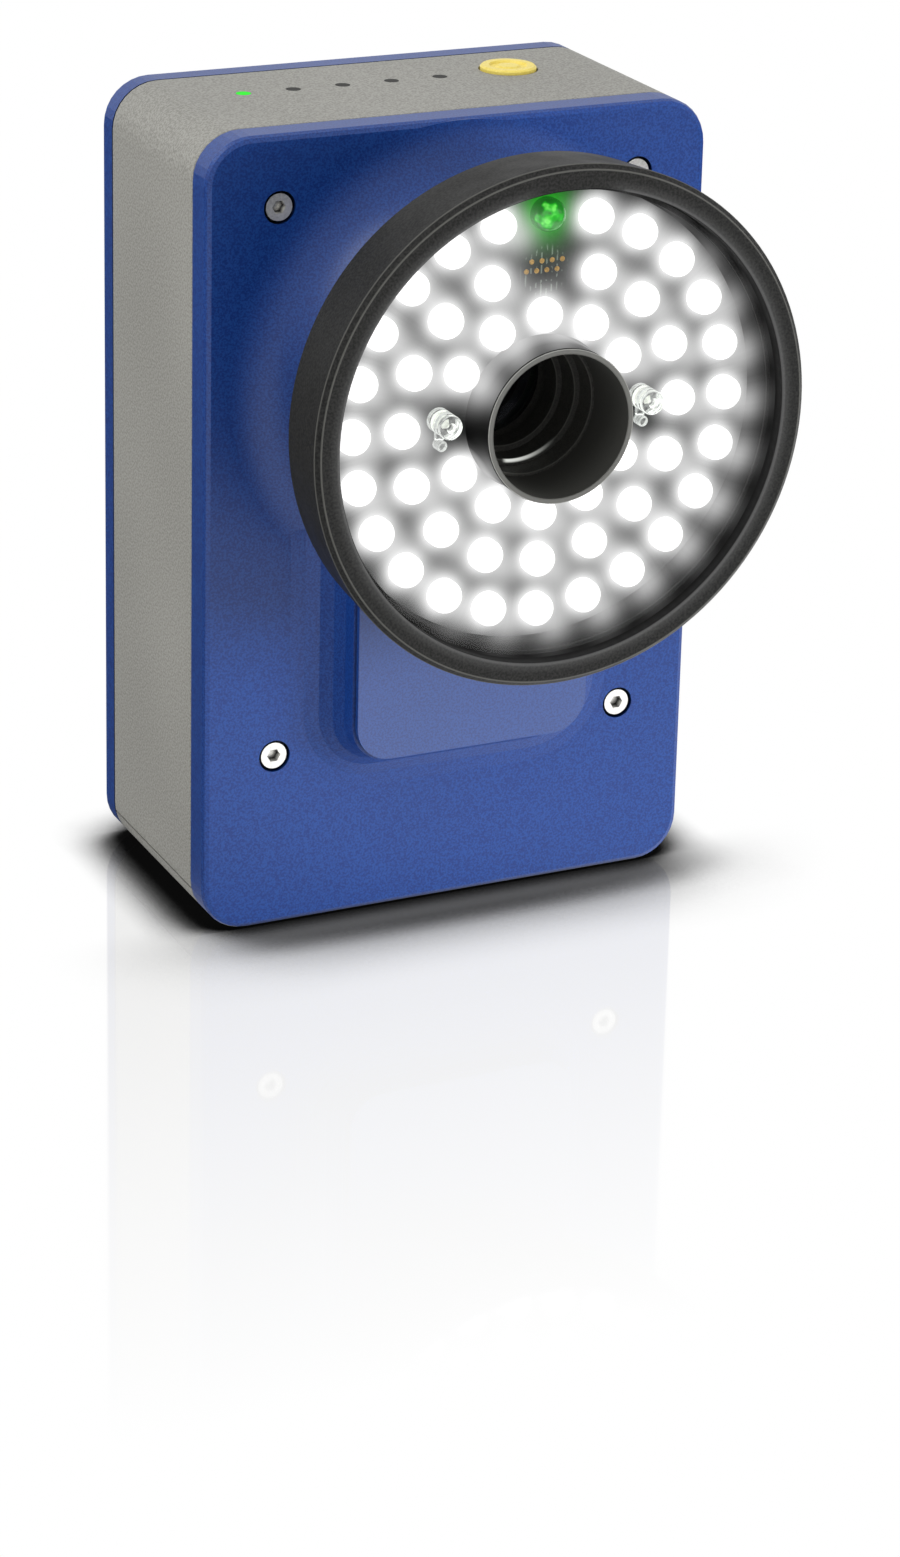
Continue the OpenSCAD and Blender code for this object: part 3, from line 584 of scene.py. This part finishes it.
# %% Where the lamps stand
BOARD_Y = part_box("led_board")[0][1]
CIRCLES = ((39.5*MM, 24, (0,)), (29.3*MM, 16, (0,)), (19.8*MM, 12, (3, 9)))
rows = []
for circle_r, places, left_out in CIRCLES:
    angles = [radians(90 + i*360/places) for i in range(places) if i not in left_out]
    rows.append([(circle_r*cos(a), AXIS_Z + circle_r*sin(a)) for a in angles])
outer_lamps, middle_lamps, inner_lamps = rows
lamps = outer_lamps + middle_lamps + inner_lamps
OUTER_R, OUTER_PLACES, _ = CIRCLES[0]
spot = (0.0, AXIS_Z + OUTER_R)
print(len(lamps), "lamps on a board at y", round(BOARD_Y, 4))

# %% [markdown]
# ## The lamps' light on the metal
# The lamps light the wall of the cup beside them, a thin line on the rim in
# front of them and the foot of the tube between them. The ring is a measured
# solid, so its mesh can't keep numbers of its own; its finish glows by radius
# and depth instead. On the cup's wall it also folds the circle into the sector
# of one lamp, to measure how far the nearest one is. Nothing glows beside the
# green spot, nor at the left and right of the tube, where no lamps stand.

# %% The lamps' light on the metal
WALL_SHARE, RIM_SHARE = 0.45, 0.6
WALL_NEAR, WALL_FAR, WALL_AHEAD = 5.5*MM, 9.5*MM, 6*MM
SPOT_NEAR, SPOT_FAR = 9*MM, 13*MM
RIM_IN, RIM_OUT = CUP_R - 0.4*MM, CUP_R + 2.3*MM
FOOT_NEAR, FOOT_FAR = 16*MM, 18*MM
GAP_LOW, GAP_HIGH = 3*MM, 8*MM


def any_of(tree, *parts):
    """The largest of several numbers: high where one of them is."""
    return reduce(lambda total, part: calc(tree, "MAXIMUM", total, part), parts)


tree = black_metal.node_tree
across, height, radius, depth = from_axis(tree)
folded = calc(tree, "PINGPONG", calc(tree, "ARCTAN2", height, across), pi/OUTER_PLACES)
ahead = all_of(tree, radius, calc(tree, "COSINE", folded))
aside = all_of(tree, radius, calc(tree, "SINE", folded))
from_lamp = apart(tree, ahead, aside, OUTER_R, 0.0)
off_spot = between(tree, apart(tree, across, height, 0.0, OUTER_R), SPOT_NEAR, SPOT_FAR)
on_wall = all_of(tree, between(tree, from_lamp, WALL_FAR, WALL_NEAR),
                 between(tree, depth, BOARD_Y - WALL_AHEAD, BOARD_Y),
                 between(tree, radius, CUP_R - 3*MM, CUP_R - 2*MM), off_spot)
on_rim = all_of(tree, between(tree, radius, RIM_OUT, RIM_IN),
                between(tree, radius, RIM_IN, CUP_R - BLUR),
                between(tree, depth, RIM_Y + 3*MM, RIM_Y + 1*MM), off_spot)
on_tube = all_of(tree, between(tree, depth, WINDOW_Y - 1*MM, BOARD_Y + 1*MM),
                 between(tree, radius, FOOT_FAR, FOOT_NEAR),
                 between(tree, radius, BORE_R + 0.6*MM, BORE_R + 0.9*MM),
                 between(tree, calc(tree, "ABSOLUTE", height), GAP_LOW, GAP_HIGH))
lit = any_of(tree, all_of(tree, on_wall, WALL_SHARE), on_tube, all_of(tree, on_rim, RIM_SHARE))
glow(tree, lit, [(0.0, BLACK), (0.45, tone(50, 50, 50)), (1.0, tone(150, 150, 150))])
print("lamp light on", black_metal.name)

# %% [markdown]
# ## Turned pieces
# Lenses, discs and rings are all turned shapes: a half section swept round an
# axis. The helper draws the section as a chain of points, radius first and
# height second, spins it once round Z with its ends merged, closes it and
# makes its faces point outwards. Height then runs forward, along -Y. A second
# helper makes the shape an object and hides the measured solid it stands for.

# %% Turned pieces
SHARP_DEGREES = 40
SAME_POINT = 1e-7


def turned(section, steps, centre=(0.0, 0.0), base=0.0, into=None):
    """Spins a section of (radius, height) pairs; the axis runs along -Y at centre."""
    shape = bmesh.new()
    points = [shape.verts.new((r, 0, h)) for r, h in section]
    edges = [shape.edges.new(pair) for pair in zip(points, points[1:])]
    bmesh.ops.spin(shape, geom=points + edges, cent=(0, 0, 0), axis=(0, 0, 1), angle=2*pi,
                   steps=steps, use_merge=True)
    bmesh.ops.remove_doubles(shape, verts=shape.verts, dist=SAME_POINT)
    bmesh.ops.recalc_face_normals(shape, faces=shape.faces)
    stand = Matrix.Translation((centre[0], base, centre[1])) @ Matrix.Rotation(pi/2, 4, "X")
    bmesh.ops.transform(shape, matrix=stand, verts=shape.verts)
    if into is None:
        return shape
    copy = bpy.data.meshes.new("copy")
    shape.to_mesh(copy)
    shape.free()
    into.from_mesh(copy)
    bpy.data.meshes.remove(copy)
    return into


def piece(name, shape, finish, replaced, smooth=True):
    """Makes the shape an object that stands for a measured solid."""
    mesh = bpy.data.meshes.new(name)
    shape.to_mesh(mesh)
    shape.free()
    for face in mesh.polygons:
        face.use_smooth = smooth
    mesh.set_sharp_from_angle(angle=radians(SHARP_DEGREES))
    mesh.materials.append(finish)
    thing = bpy.data.objects.new(name, mesh)
    bpy.context.scene.collection.objects.link(thing)
    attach(thing, "reader")
    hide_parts(replaced)
    print(name, "has", len(mesh.polygons), "faces")
    return thing


print("edges over", SHARP_DEGREES, "degrees stay sharp")

# %% [markdown]
# ## The lit lenses
# Each lamp is a clear moulded dome over a small chip. When lit, the dome looks
# pure white, and only its steep rim is a shade darker. Glass over a bright chip
# would be slow to render and full of noise, so the finish itself glows, and
# Layer Weight takes a little away where the surface turns aside.

# %% The lit lenses
LAMP_R, LENS_SKIRT, LENS_TOP = 3.3*MM, 1.6*MM, 4.0*MM


def dome(radius, skirt, top):
    """Half section of a moulded lens: a straight skirt and a round top."""
    rise = top - skirt
    arc = [(radius*cos(radians(a)), skirt + rise*sin(radians(a))) for a in range(0, 90, 10)]
    return [(0.0, 0.0), (radius, 0.0)] + arc + [(0.0, top)]


def turned_aside(tree, blend, size, streaks):
    """High where the surface turns aside, with streaks of a size in millimetres."""
    weight = add_node(tree, "ShaderNodeLayerWeight", Blend=blend)
    return calc(tree, "MULTIPLY_ADD", grain(tree, size, 1.0), streaks, weight.outputs["Facing"])


lamp_white, tree, shader = new_finish("lamp_white")
steep = turned_aside(tree, blend=0.35, size=1.5, streaks=0.1)
glow(tree, steep, [(0.3, WHITE), (0.95, tone(212, 212, 209))], strength=1.05)
shader.inputs["Base Color"].default_value = WHITE
shader.inputs["Roughness"].default_value = 0.12

lens_section = dome(LAMP_R, LENS_SKIRT, LENS_TOP)
shape = bmesh.new()
for lamp in lamps:
    turned(lens_section, steps=24, centre=lamp, base=BOARD_Y, into=shape)
piece("lamp_lenses", shape, lamp_white, "led_lenses")

# %% [markdown]
# ## The board's finish
# The board is black, with a few fine traces round the contact pads, but the
# light that spills from the lamps makes a soft halo round each one. Real
# lamps on the board would light it too, but unevenly and with much noise. So
# every point of the board keeps a number that says how much lamp light
# reaches it, and the finish glows by that number.

# %% The board's finish
PADS_UP = CIRCLES[1][0] - 1*MM
PADS_NEAR, PADS_FAR = 4.0*MM, 5.5*MM


def halo_glow(tree, name, colour, limit):
    """Glowing light of one colour, as strong as a number stored on the points."""
    stored = add_node(tree, "ShaderNodeAttribute", attribute_name=name)
    light = add_node(tree, "ShaderNodeEmission", Color=colour)
    capped = calc(tree, "MINIMUM", stored.outputs["Fac"], limit)
    tree.links.new(capped, light.inputs["Strength"])
    return light.outputs["Emission"]


def add_up(tree, first, second):
    """The light of two shaders together."""
    node = add_node(tree, "ShaderNodeAddShader")
    tree.links.new(first, node.inputs[0])
    tree.links.new(second, node.inputs[1])
    return node.outputs["Shader"]


board_dark = satin("board_dark", tone(14, 16, 15), tone(28, 30, 29),
                   speck=0.7, gloss=0.5, sheen=0.15)
tree = board_dark.node_tree
across, height, _, _ = from_axis(tree)
by_pads = between(tree, apart(tree, across, height, 0.0, PADS_UP), PADS_FAR, PADS_NEAR)
thin = between(tree, bands(tree, "X", pitch=1.1), 0.75, 0.9)
broken = between(tree, grain(tree, 1.3, 1.0), 0.5, 0.56)
over(tree, all_of(tree, by_pads, thin, broken), tone(104, 112, 104))
halos = add_up(tree, halo_glow(tree, "halo", WHITE, limit=1.0),
               halo_glow(tree, "green_halo", tone(30, 200, 20), limit=0.5))
lit_board = add_up(tree, tree.nodes["Principled BSDF"].outputs["BSDF"], halos)
tree.links.new(lit_board, tree.nodes["Material Output"].inputs["Surface"])
print("traces", round(PADS_UP, 4), "above the axis")

# %% [markdown]
# ## The board in the lamps' light
# The board is a turned ring with a fine grid on its face, which gives it
# enough points for smooth halos. The number of a point is a sum of soft bells,
# one for each lamp. A weaker set of bells, a little further out and further in,
# carries the light up to the wall and the tube.

# %% The board in the lamps' light
TUBE_R = BORE_R + TUBE_WALL
BOARD_GAP = 0.4*MM
HALO_R, SPILL_R, GREEN_R = 3.5*MM, 2.2*MM, 5.0*MM
SPILL_OUT, SPILL_IN = 3.8*MM, -3.6*MM


def ring_section(inner, outer, thick, cells):
    """Half section of a flat ring whose front face has a fine grid."""
    grid = [(inner + (outer - inner)*i/cells, thick) for i in range(cells + 1)]
    return [(inner, 0.0)] + grid + [(outer, 0.0), (inner, 0.0)]


def halo_numbers(mesh, name, sources, width, gain):
    """Adds to the number stored on each point the sum of soft bells round the sources."""
    numbers = mesh.attributes.get(name) or mesh.attributes.new(name, "FLOAT", "POINT")
    for i, vertex in enumerate(mesh.vertices):
        x, z = vertex.co.x, vertex.co.z
        total = sum(exp(-((x - a)**2 + (z - b)**2)/width**2) for a, b in sources)
        numbers.data[i].value += gain*total


def moved_out(sources, step):
    """The sources, each moved away from the axis."""
    places = []
    for x, z in sources:
        out = Vector((x, z - AXIS_Z))
        out.length += step
        places.append((out.x, out.y + AXIS_Z))
    return places


low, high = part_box("led_board")
section = ring_section(TUBE_R + BOARD_GAP, (high[0] - low[0])/2, high[1] - low[1], cells=64)
shape = turned(section, steps=256, centre=(0.0, AXIS_Z), base=high[1])
board = piece("lamp_board", shape, board_dark, "led_board", smooth=False)
halo_numbers(board.data, "halo", lamps, HALO_R, gain=2.0)
halo_numbers(board.data, "halo", moved_out(outer_lamps, SPILL_OUT), SPILL_R, gain=0.08)
halo_numbers(board.data, "halo", moved_out(inner_lamps, SPILL_IN), SPILL_R, gain=0.35)
halo_numbers(board.data, "green_halo", [spot], GREEN_R, gain=0.8)

# %% [markdown]
# ## The window
# A flat clear disc closes the ring light. Real glass would bend and scatter
# the light of every lamp, so this one is only see-through. Its outer side
# mirrors a little at a slant, and it carries a faint veil of the lamps' light,
# as dust does. The veil is the same kind of stored number as on the board, only
# a little wider and much weaker.

# %% The window
WINDOW_GAP = 0.15*MM
VEIL_R = 3.7*MM


def blend(tree, factor, first, second):
    """A mix of two shaders."""
    node = add_node(tree, "ShaderNodeMixShader")
    tree.links.new(factor, node.inputs["Fac"])
    tree.links.new(first, node.inputs[1])
    tree.links.new(second, node.inputs[2])
    return node.outputs["Shader"]


window_clear, tree, shader = new_finish("window_clear")
tree.nodes.remove(shader)
see_through = add_node(tree, "ShaderNodeBsdfTransparent")
mirror = add_node(tree, "ShaderNodeBsdfGlossy", Roughness=0.05)
dust = ramp(tree, grain(tree, 3.0, 3.0), [(0.4, grey(0.9)), (0.7, WHITE)])
tree.links.new(dust, mirror.inputs["Color"])
slant = add_node(tree, "ShaderNodeFresnel", IOR=1.2)
side = add_node(tree, "ShaderNodeNewGeometry")
outer_side = calc(tree, "SUBTRACT", 1.0, side.outputs["Backfacing"])
mirroring = all_of(tree, slant.outputs["Fac"], outer_side)
clear = blend(tree, mirroring, see_through.outputs["BSDF"], mirror.outputs["BSDF"])
veil = add_node(tree, "ShaderNodeEmission", Color=WHITE)
stored = add_node(tree, "ShaderNodeAttribute", attribute_name="veil")
veiled = blend(tree, stored.outputs["Fac"], clear, veil.outputs["Emission"])
tree.links.new(veiled, tree.nodes["Material Output"].inputs["Surface"])

low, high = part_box("ring_window")
section = ring_section(TUBE_R + WINDOW_GAP, (high[0] - low[0])/2, high[1] - low[1], cells=48)
shape = turned(section, steps=192, centre=(0.0, AXIS_Z), base=high[1])
window = piece("lamp_window", shape, window_clear, "ring_window", smooth=False)
halo_numbers(window.data, "veil", lamps, VEIL_R, gain=0.46)

# %% [markdown]
# ## The green spot
# The green spot at the top is a tinted dome of the same form as the lamps:
# dark at its rim, with bright streaks where the chip below shows through. The
# same glow that turns with the surface gives both, with more noise in it.

# %% The green spot
lamp_green, tree, shader = new_finish("lamp_green")
streaked = turned_aside(tree, blend=0.5, size=1.6, streaks=1.5)
glow(tree, streaked, [(0.60, tone(120, 250, 96)), (0.78, tone(24, 190, 24)),
                      (1.0, tone(4, 96, 10))], strength=0.75)
shader.inputs["Base Color"].default_value = tone(10, 110, 16)
shader.inputs["Roughness"].default_value = 0.1
shape = turned(lens_section, steps=32, centre=spot, base=BOARD_Y)
piece("spot_lens", shape, lamp_green, "spot_led")

# %% [markdown]
# ## Clear plastic
# The two aiming lenses beside the bore are of clear plastic. It bends the light
# round it, and its edges look bright because they catch the light of the lamps
# on all sides. Tracing that light would take very many rays, so the edges glow
# a little by themselves.

# %% Clear plastic
clear_plastic, tree, shader = new_finish("clear_lens_plastic")
shader.inputs["Base Color"].default_value = tone(250, 252, 249)
shader.inputs["Transmission Weight"].default_value = 0.97
shader.inputs["IOR"].default_value = 1.49
spread(tree, grain(tree, 0.5), [(0.3, BLACK), (0.7, grey(0.03))], "Roughness")
caught = turned_aside(tree, blend=0.4, size=0.9, streaks=0.8)
glow(tree, caught, [(0.35, grey(0.02)), (1.0, (0.5, 0.52, 0.5, 1))])
print(clear_plastic.name, "with light in its edges")

# %% [markdown]
# ## The aiming lenses
# Each aiming lens is a rod with a few moulded rings and a dimple in the front
# face, tied by a thin web to the peg that locates it. Rod and peg are turned
# shapes. The rod's section starts at its back, runs up its side with a notch
# for each ring, rounds the front edge and ends in the dimple; the peg's is a
# plain pin with a bevelled tip. The web is a small block.

# %% The aiming lenses
ROD_R, EDGE, DIMPLE = 2.4*MM, 0.4*MM, 1.0*MM
GROOVES, GROOVE, FIRST_GROOVE, NEXT_GROOVE = 3, 0.25*MM, 1.4*MM, 1.6*MM
PEG_R, PEG_LEN, WEB, WEB_DEEP = 1.1*MM, 2.4*MM, 1.6*MM, 1.0*MM
low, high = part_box("aimer_lenses")
rod_len = high[1] - low[1]
rod_x, rod_z, peg_z = high[0] - ROD_R, high[2] - ROD_R, low[2] + PEG_R

rod = [(0.0, 0.0), (ROD_R, 0.0)]
for i in range(GROOVES):
    groove = FIRST_GROOVE + NEXT_GROOVE*i
    rod += [(ROD_R, groove - GROOVE), (ROD_R - GROOVE, groove), (ROD_R, groove + GROOVE)]
rod += [(ROD_R - EDGE*(1 - cos(radians(a))), rod_len - EDGE*(1 - sin(radians(a))))
        for a in range(0, 91, 30)]
rod += [(DIMPLE, rod_len), (DIMPLE*0.7, rod_len - DIMPLE*0.7), (0.0, rod_len - DIMPLE)]
peg = [(0.0, 0.0), (PEG_R, 0.0), (PEG_R, PEG_LEN*0.8), (PEG_R*0.7, PEG_LEN), (0.0, PEG_LEN)]

web_foot = peg_z + PEG_R*0.9
web_span = rod_z - ROD_R - web_foot
shape = bmesh.new()
for x in (-rod_x, rod_x):
    turned(rod, steps=40, centre=(x, rod_z), base=high[1], into=shape)
    turned(peg, steps=24, centre=(x, peg_z), base=high[1], into=shape)
    web = bmesh.ops.create_cube(shape, size=1.0)["verts"]
    middle = (x, high[1] - WEB_DEEP/2, web_foot + web_span/2)
    stand = Matrix.Translation(middle) @ Matrix.Diagonal((WEB, WEB_DEEP, web_span, 1))
    bmesh.ops.transform(shape, matrix=stand, verts=web)
piece("aiming_lenses", shape, clear_plastic, "aimer_lenses")

# %% [markdown]
# ## Lens glass
# Deep in the bore stands the front lens. Its coating kills most reflections,
# which a low index of refraction gives without extra layers. A wide faint
# noise makes the gloss slightly uneven, as on any wiped lens.

# %% Lens glass
lens_glass, tree, shader = new_finish("lens_glass")
shader.inputs["Base Color"].default_value = tone(222, 228, 240)
shader.inputs["Transmission Weight"].default_value = 1.0
shader.inputs["IOR"].default_value = 1.2
spread(tree, grain(tree, 12.0, 0.0), [(0.3, BLACK), (0.7, grey(0.03))], "Roughness")
dress(lens_glass, "front_lens", "rear_lens", "sensor_glass")

# %% [markdown]
# ## The floor
# The reader stands on a glossy white table. It is only part of the stage, so
# one large disc is enough. Its plain white is what the reader's dull sides see;
# the next cells say what the camera sees and what shiny pieces mirror.

# %% The floor
FLOOR_R = 6.0
shape = bmesh.new()
bmesh.ops.create_circle(shape, cap_ends=True, segments=96, radius=FLOOR_R)
mesh = bpy.data.meshes.new("floor")
shape.to_mesh(mesh)
shape.free()
floor = bpy.data.objects.new("floor", mesh)
bpy.context.scene.collection.objects.link(floor)

table, tree, shader = new_finish("white_table")
shader.inputs["Base Color"].default_value = grey(0.86)
shader.inputs["Roughness"].default_value = 0.9
shader.inputs["Specular IOR Level"].default_value = 0.0
mesh.materials.append(table)
print("floor", 2*FLOOR_R, "m across")

# %% [markdown]
# ## The table that the camera sees
# To the camera the table is white, with a dark soft line where the reader
# touches it. A shadow from the lamps would be too weak on a table that glows
# white, so the line comes from ambient occlusion nodes. In front of the reader
# two of them are multiplied, and one is tipped to the side, which makes the
# shade deeper there. A weak mirror image fades towards the viewer.

# %% The table that the camera sees
FRONT_START, FRONT_FULL = -0.02, -0.04
IMAGE_END, IMAGE_FULL, IMAGE_SHARE = -0.20, -0.03, 0.2
TIPPED = (-0.55, 0.35, 0.76)


def contact(tree, reach, lean=(0.0, 0.0, 1.0)):
    """A dark soft line, reach millimetres wide, round what stands there; lean tips it."""
    touch = add_node(tree, "ShaderNodeAmbientOcclusion", samples=16, Distance=reach*MM)
    upward = add_node(tree, "ShaderNodeCombineXYZ", X=lean[0], Y=lean[1], Z=lean[2])
    tree.links.new(upward.outputs["Vector"], touch.inputs["Normal"])
    return ramp(tree, touch.outputs["AO"], [(0.50, grey(0.004)), (0.64, grey(0.1)),
                                            (0.80, grey(0.6)), (0.96, WHITE)])


_, depth, _ = xyz(tree)
front_line = mix(tree, 1.0, contact(tree, 36), contact(tree, 17, TIPPED), "MULTIPLY")
line = mix(tree, between(tree, depth, FRONT_START, FRONT_FULL), contact(tree, 14), front_line)
white = add_node(tree, "ShaderNodeEmission")
tree.links.new(line, white.inputs["Color"])
image = add_node(tree, "ShaderNodeBsdfGlossy", Roughness=0.05)
tree.links.new(line, image.inputs["Color"])
fade = stretch(tree, depth, IMAGE_END, IMAGE_FULL, 0.0, IMAGE_SHARE)
to_camera = blend(tree, fade, white.outputs["Emission"], image.outputs["BSDF"])
print("mirror image up to", IMAGE_SHARE, "of the light")

# %% [markdown]
# ## The table that shiny pieces mirror
# The reader's paint mirrors the table too. There the table glows brightest a
# little in front, a painted pool of the studio lamp's light, and dark further off,
# which gives the blue cover its slow change of tone from bottom to top. Light Path
# tells the camera's rays from those that come by way of a mirror or of glass.

# %% The table that shiny pieces mirror
AHEAD, AHEAD_START, AHEAD_END = (0.7, -0.71, 0), -0.2, 0.8
ahead = add_node(tree, "ShaderNodeVectorMath", operation="DOT_PRODUCT")
ahead.inputs[1].default_value = AHEAD
tree.links.new(on_piece(tree), ahead.inputs[0])
along = stretch(tree, ahead.outputs["Value"], AHEAD_START, AHEAD_END)
lit_part = ramp(tree, along, [(0.15, grey(0.06)), (0.25, WHITE), (0.42, WHITE), (0.56, grey(0.05))])
mirrored = add_node(tree, "ShaderNodeEmission", Strength=1.6)
tree.links.new(lit_part, mirrored.inputs["Color"])

path = add_node(tree, "ShaderNodeLightPath")
in_mirrors = any_of(tree, path.outputs["Is Glossy Ray"], path.outputs["Is Transmission Ray"])
surface = blend(tree, in_mirrors, shader.outputs["BSDF"], mirrored.outputs["Emission"])
surface = blend(tree, path.outputs["Is Camera Ray"], surface, to_camera)
tree.links.new(surface, tree.nodes["Material Output"].inputs["Surface"])
print(table.name, "is brightest along", AHEAD)

# %% [markdown]
# ## The sky
# The sky is that of a white studio. It is white to the camera, to mirrors and
# to glass, and a plain grey to everything else, so that a colour comes out
# about as it is written.

# %% The sky
SKY_DULL, SKY_SEEN = 0.6, 1.0
world = bpy.data.worlds.new("studio")
bpy.context.scene.world = world
world.use_nodes = True
tree = world.node_tree
sky = tree.nodes["Background"]
path = add_node(tree, "ShaderNodeLightPath")
seen = any_of(tree, path.outputs["Is Camera Ray"], path.outputs["Is Transmission Ray"],
              path.outputs["Is Glossy Ray"])
tree.links.new(stretch(tree, seen, 0.0, 1.0, SKY_DULL, SKY_SEEN), sky.inputs["Strength"])
sky.inputs["Color"].default_value = WHITE
print("sky", SKY_DULL, "to dull pieces and", SKY_SEEN, "to the camera")

# %% [markdown]
# ## The lamps of the studio
# One large soft lamp hangs above to the left, and a low one stands in front to
# the right. The ring light throws a soft shade from the low lamp on the upper
# left of the blue cover. The low lamp is kept out of mirrors, because its disc
# would show as a bright spot on the paint.

# %% The lamps of the studio
def soft_lamp(name, place, target, size, watts, mirrored=True):
    """A round soft lamp that shines from place to target; mirrored says if paint shows it."""
    data = bpy.data.lights.new(name, "AREA")
    data.shape = "DISK"
    data.size = size
    data.energy = watts
    lamp = bpy.data.objects.new(name, data)
    bpy.context.scene.collection.objects.link(lamp)
    lamp.location = place
    lamp.rotation_euler = (Vector(target) - Vector(place)).to_track_quat("-Z", "Y").to_euler()
    lamp.visible_glossy = mirrored
    print(name, watts, "W at", place)


soft_lamp("high_lamp", place=(-0.75, -0.1, 1.1), target=(0, 0, 0.08), size=0.9, watts=7.0)
soft_lamp("low_lamp", place=(0.45, -0.65, 0.08), target=(0.02, -0.03, 0.05), size=0.35, watts=4.8,
          mirrored=False)
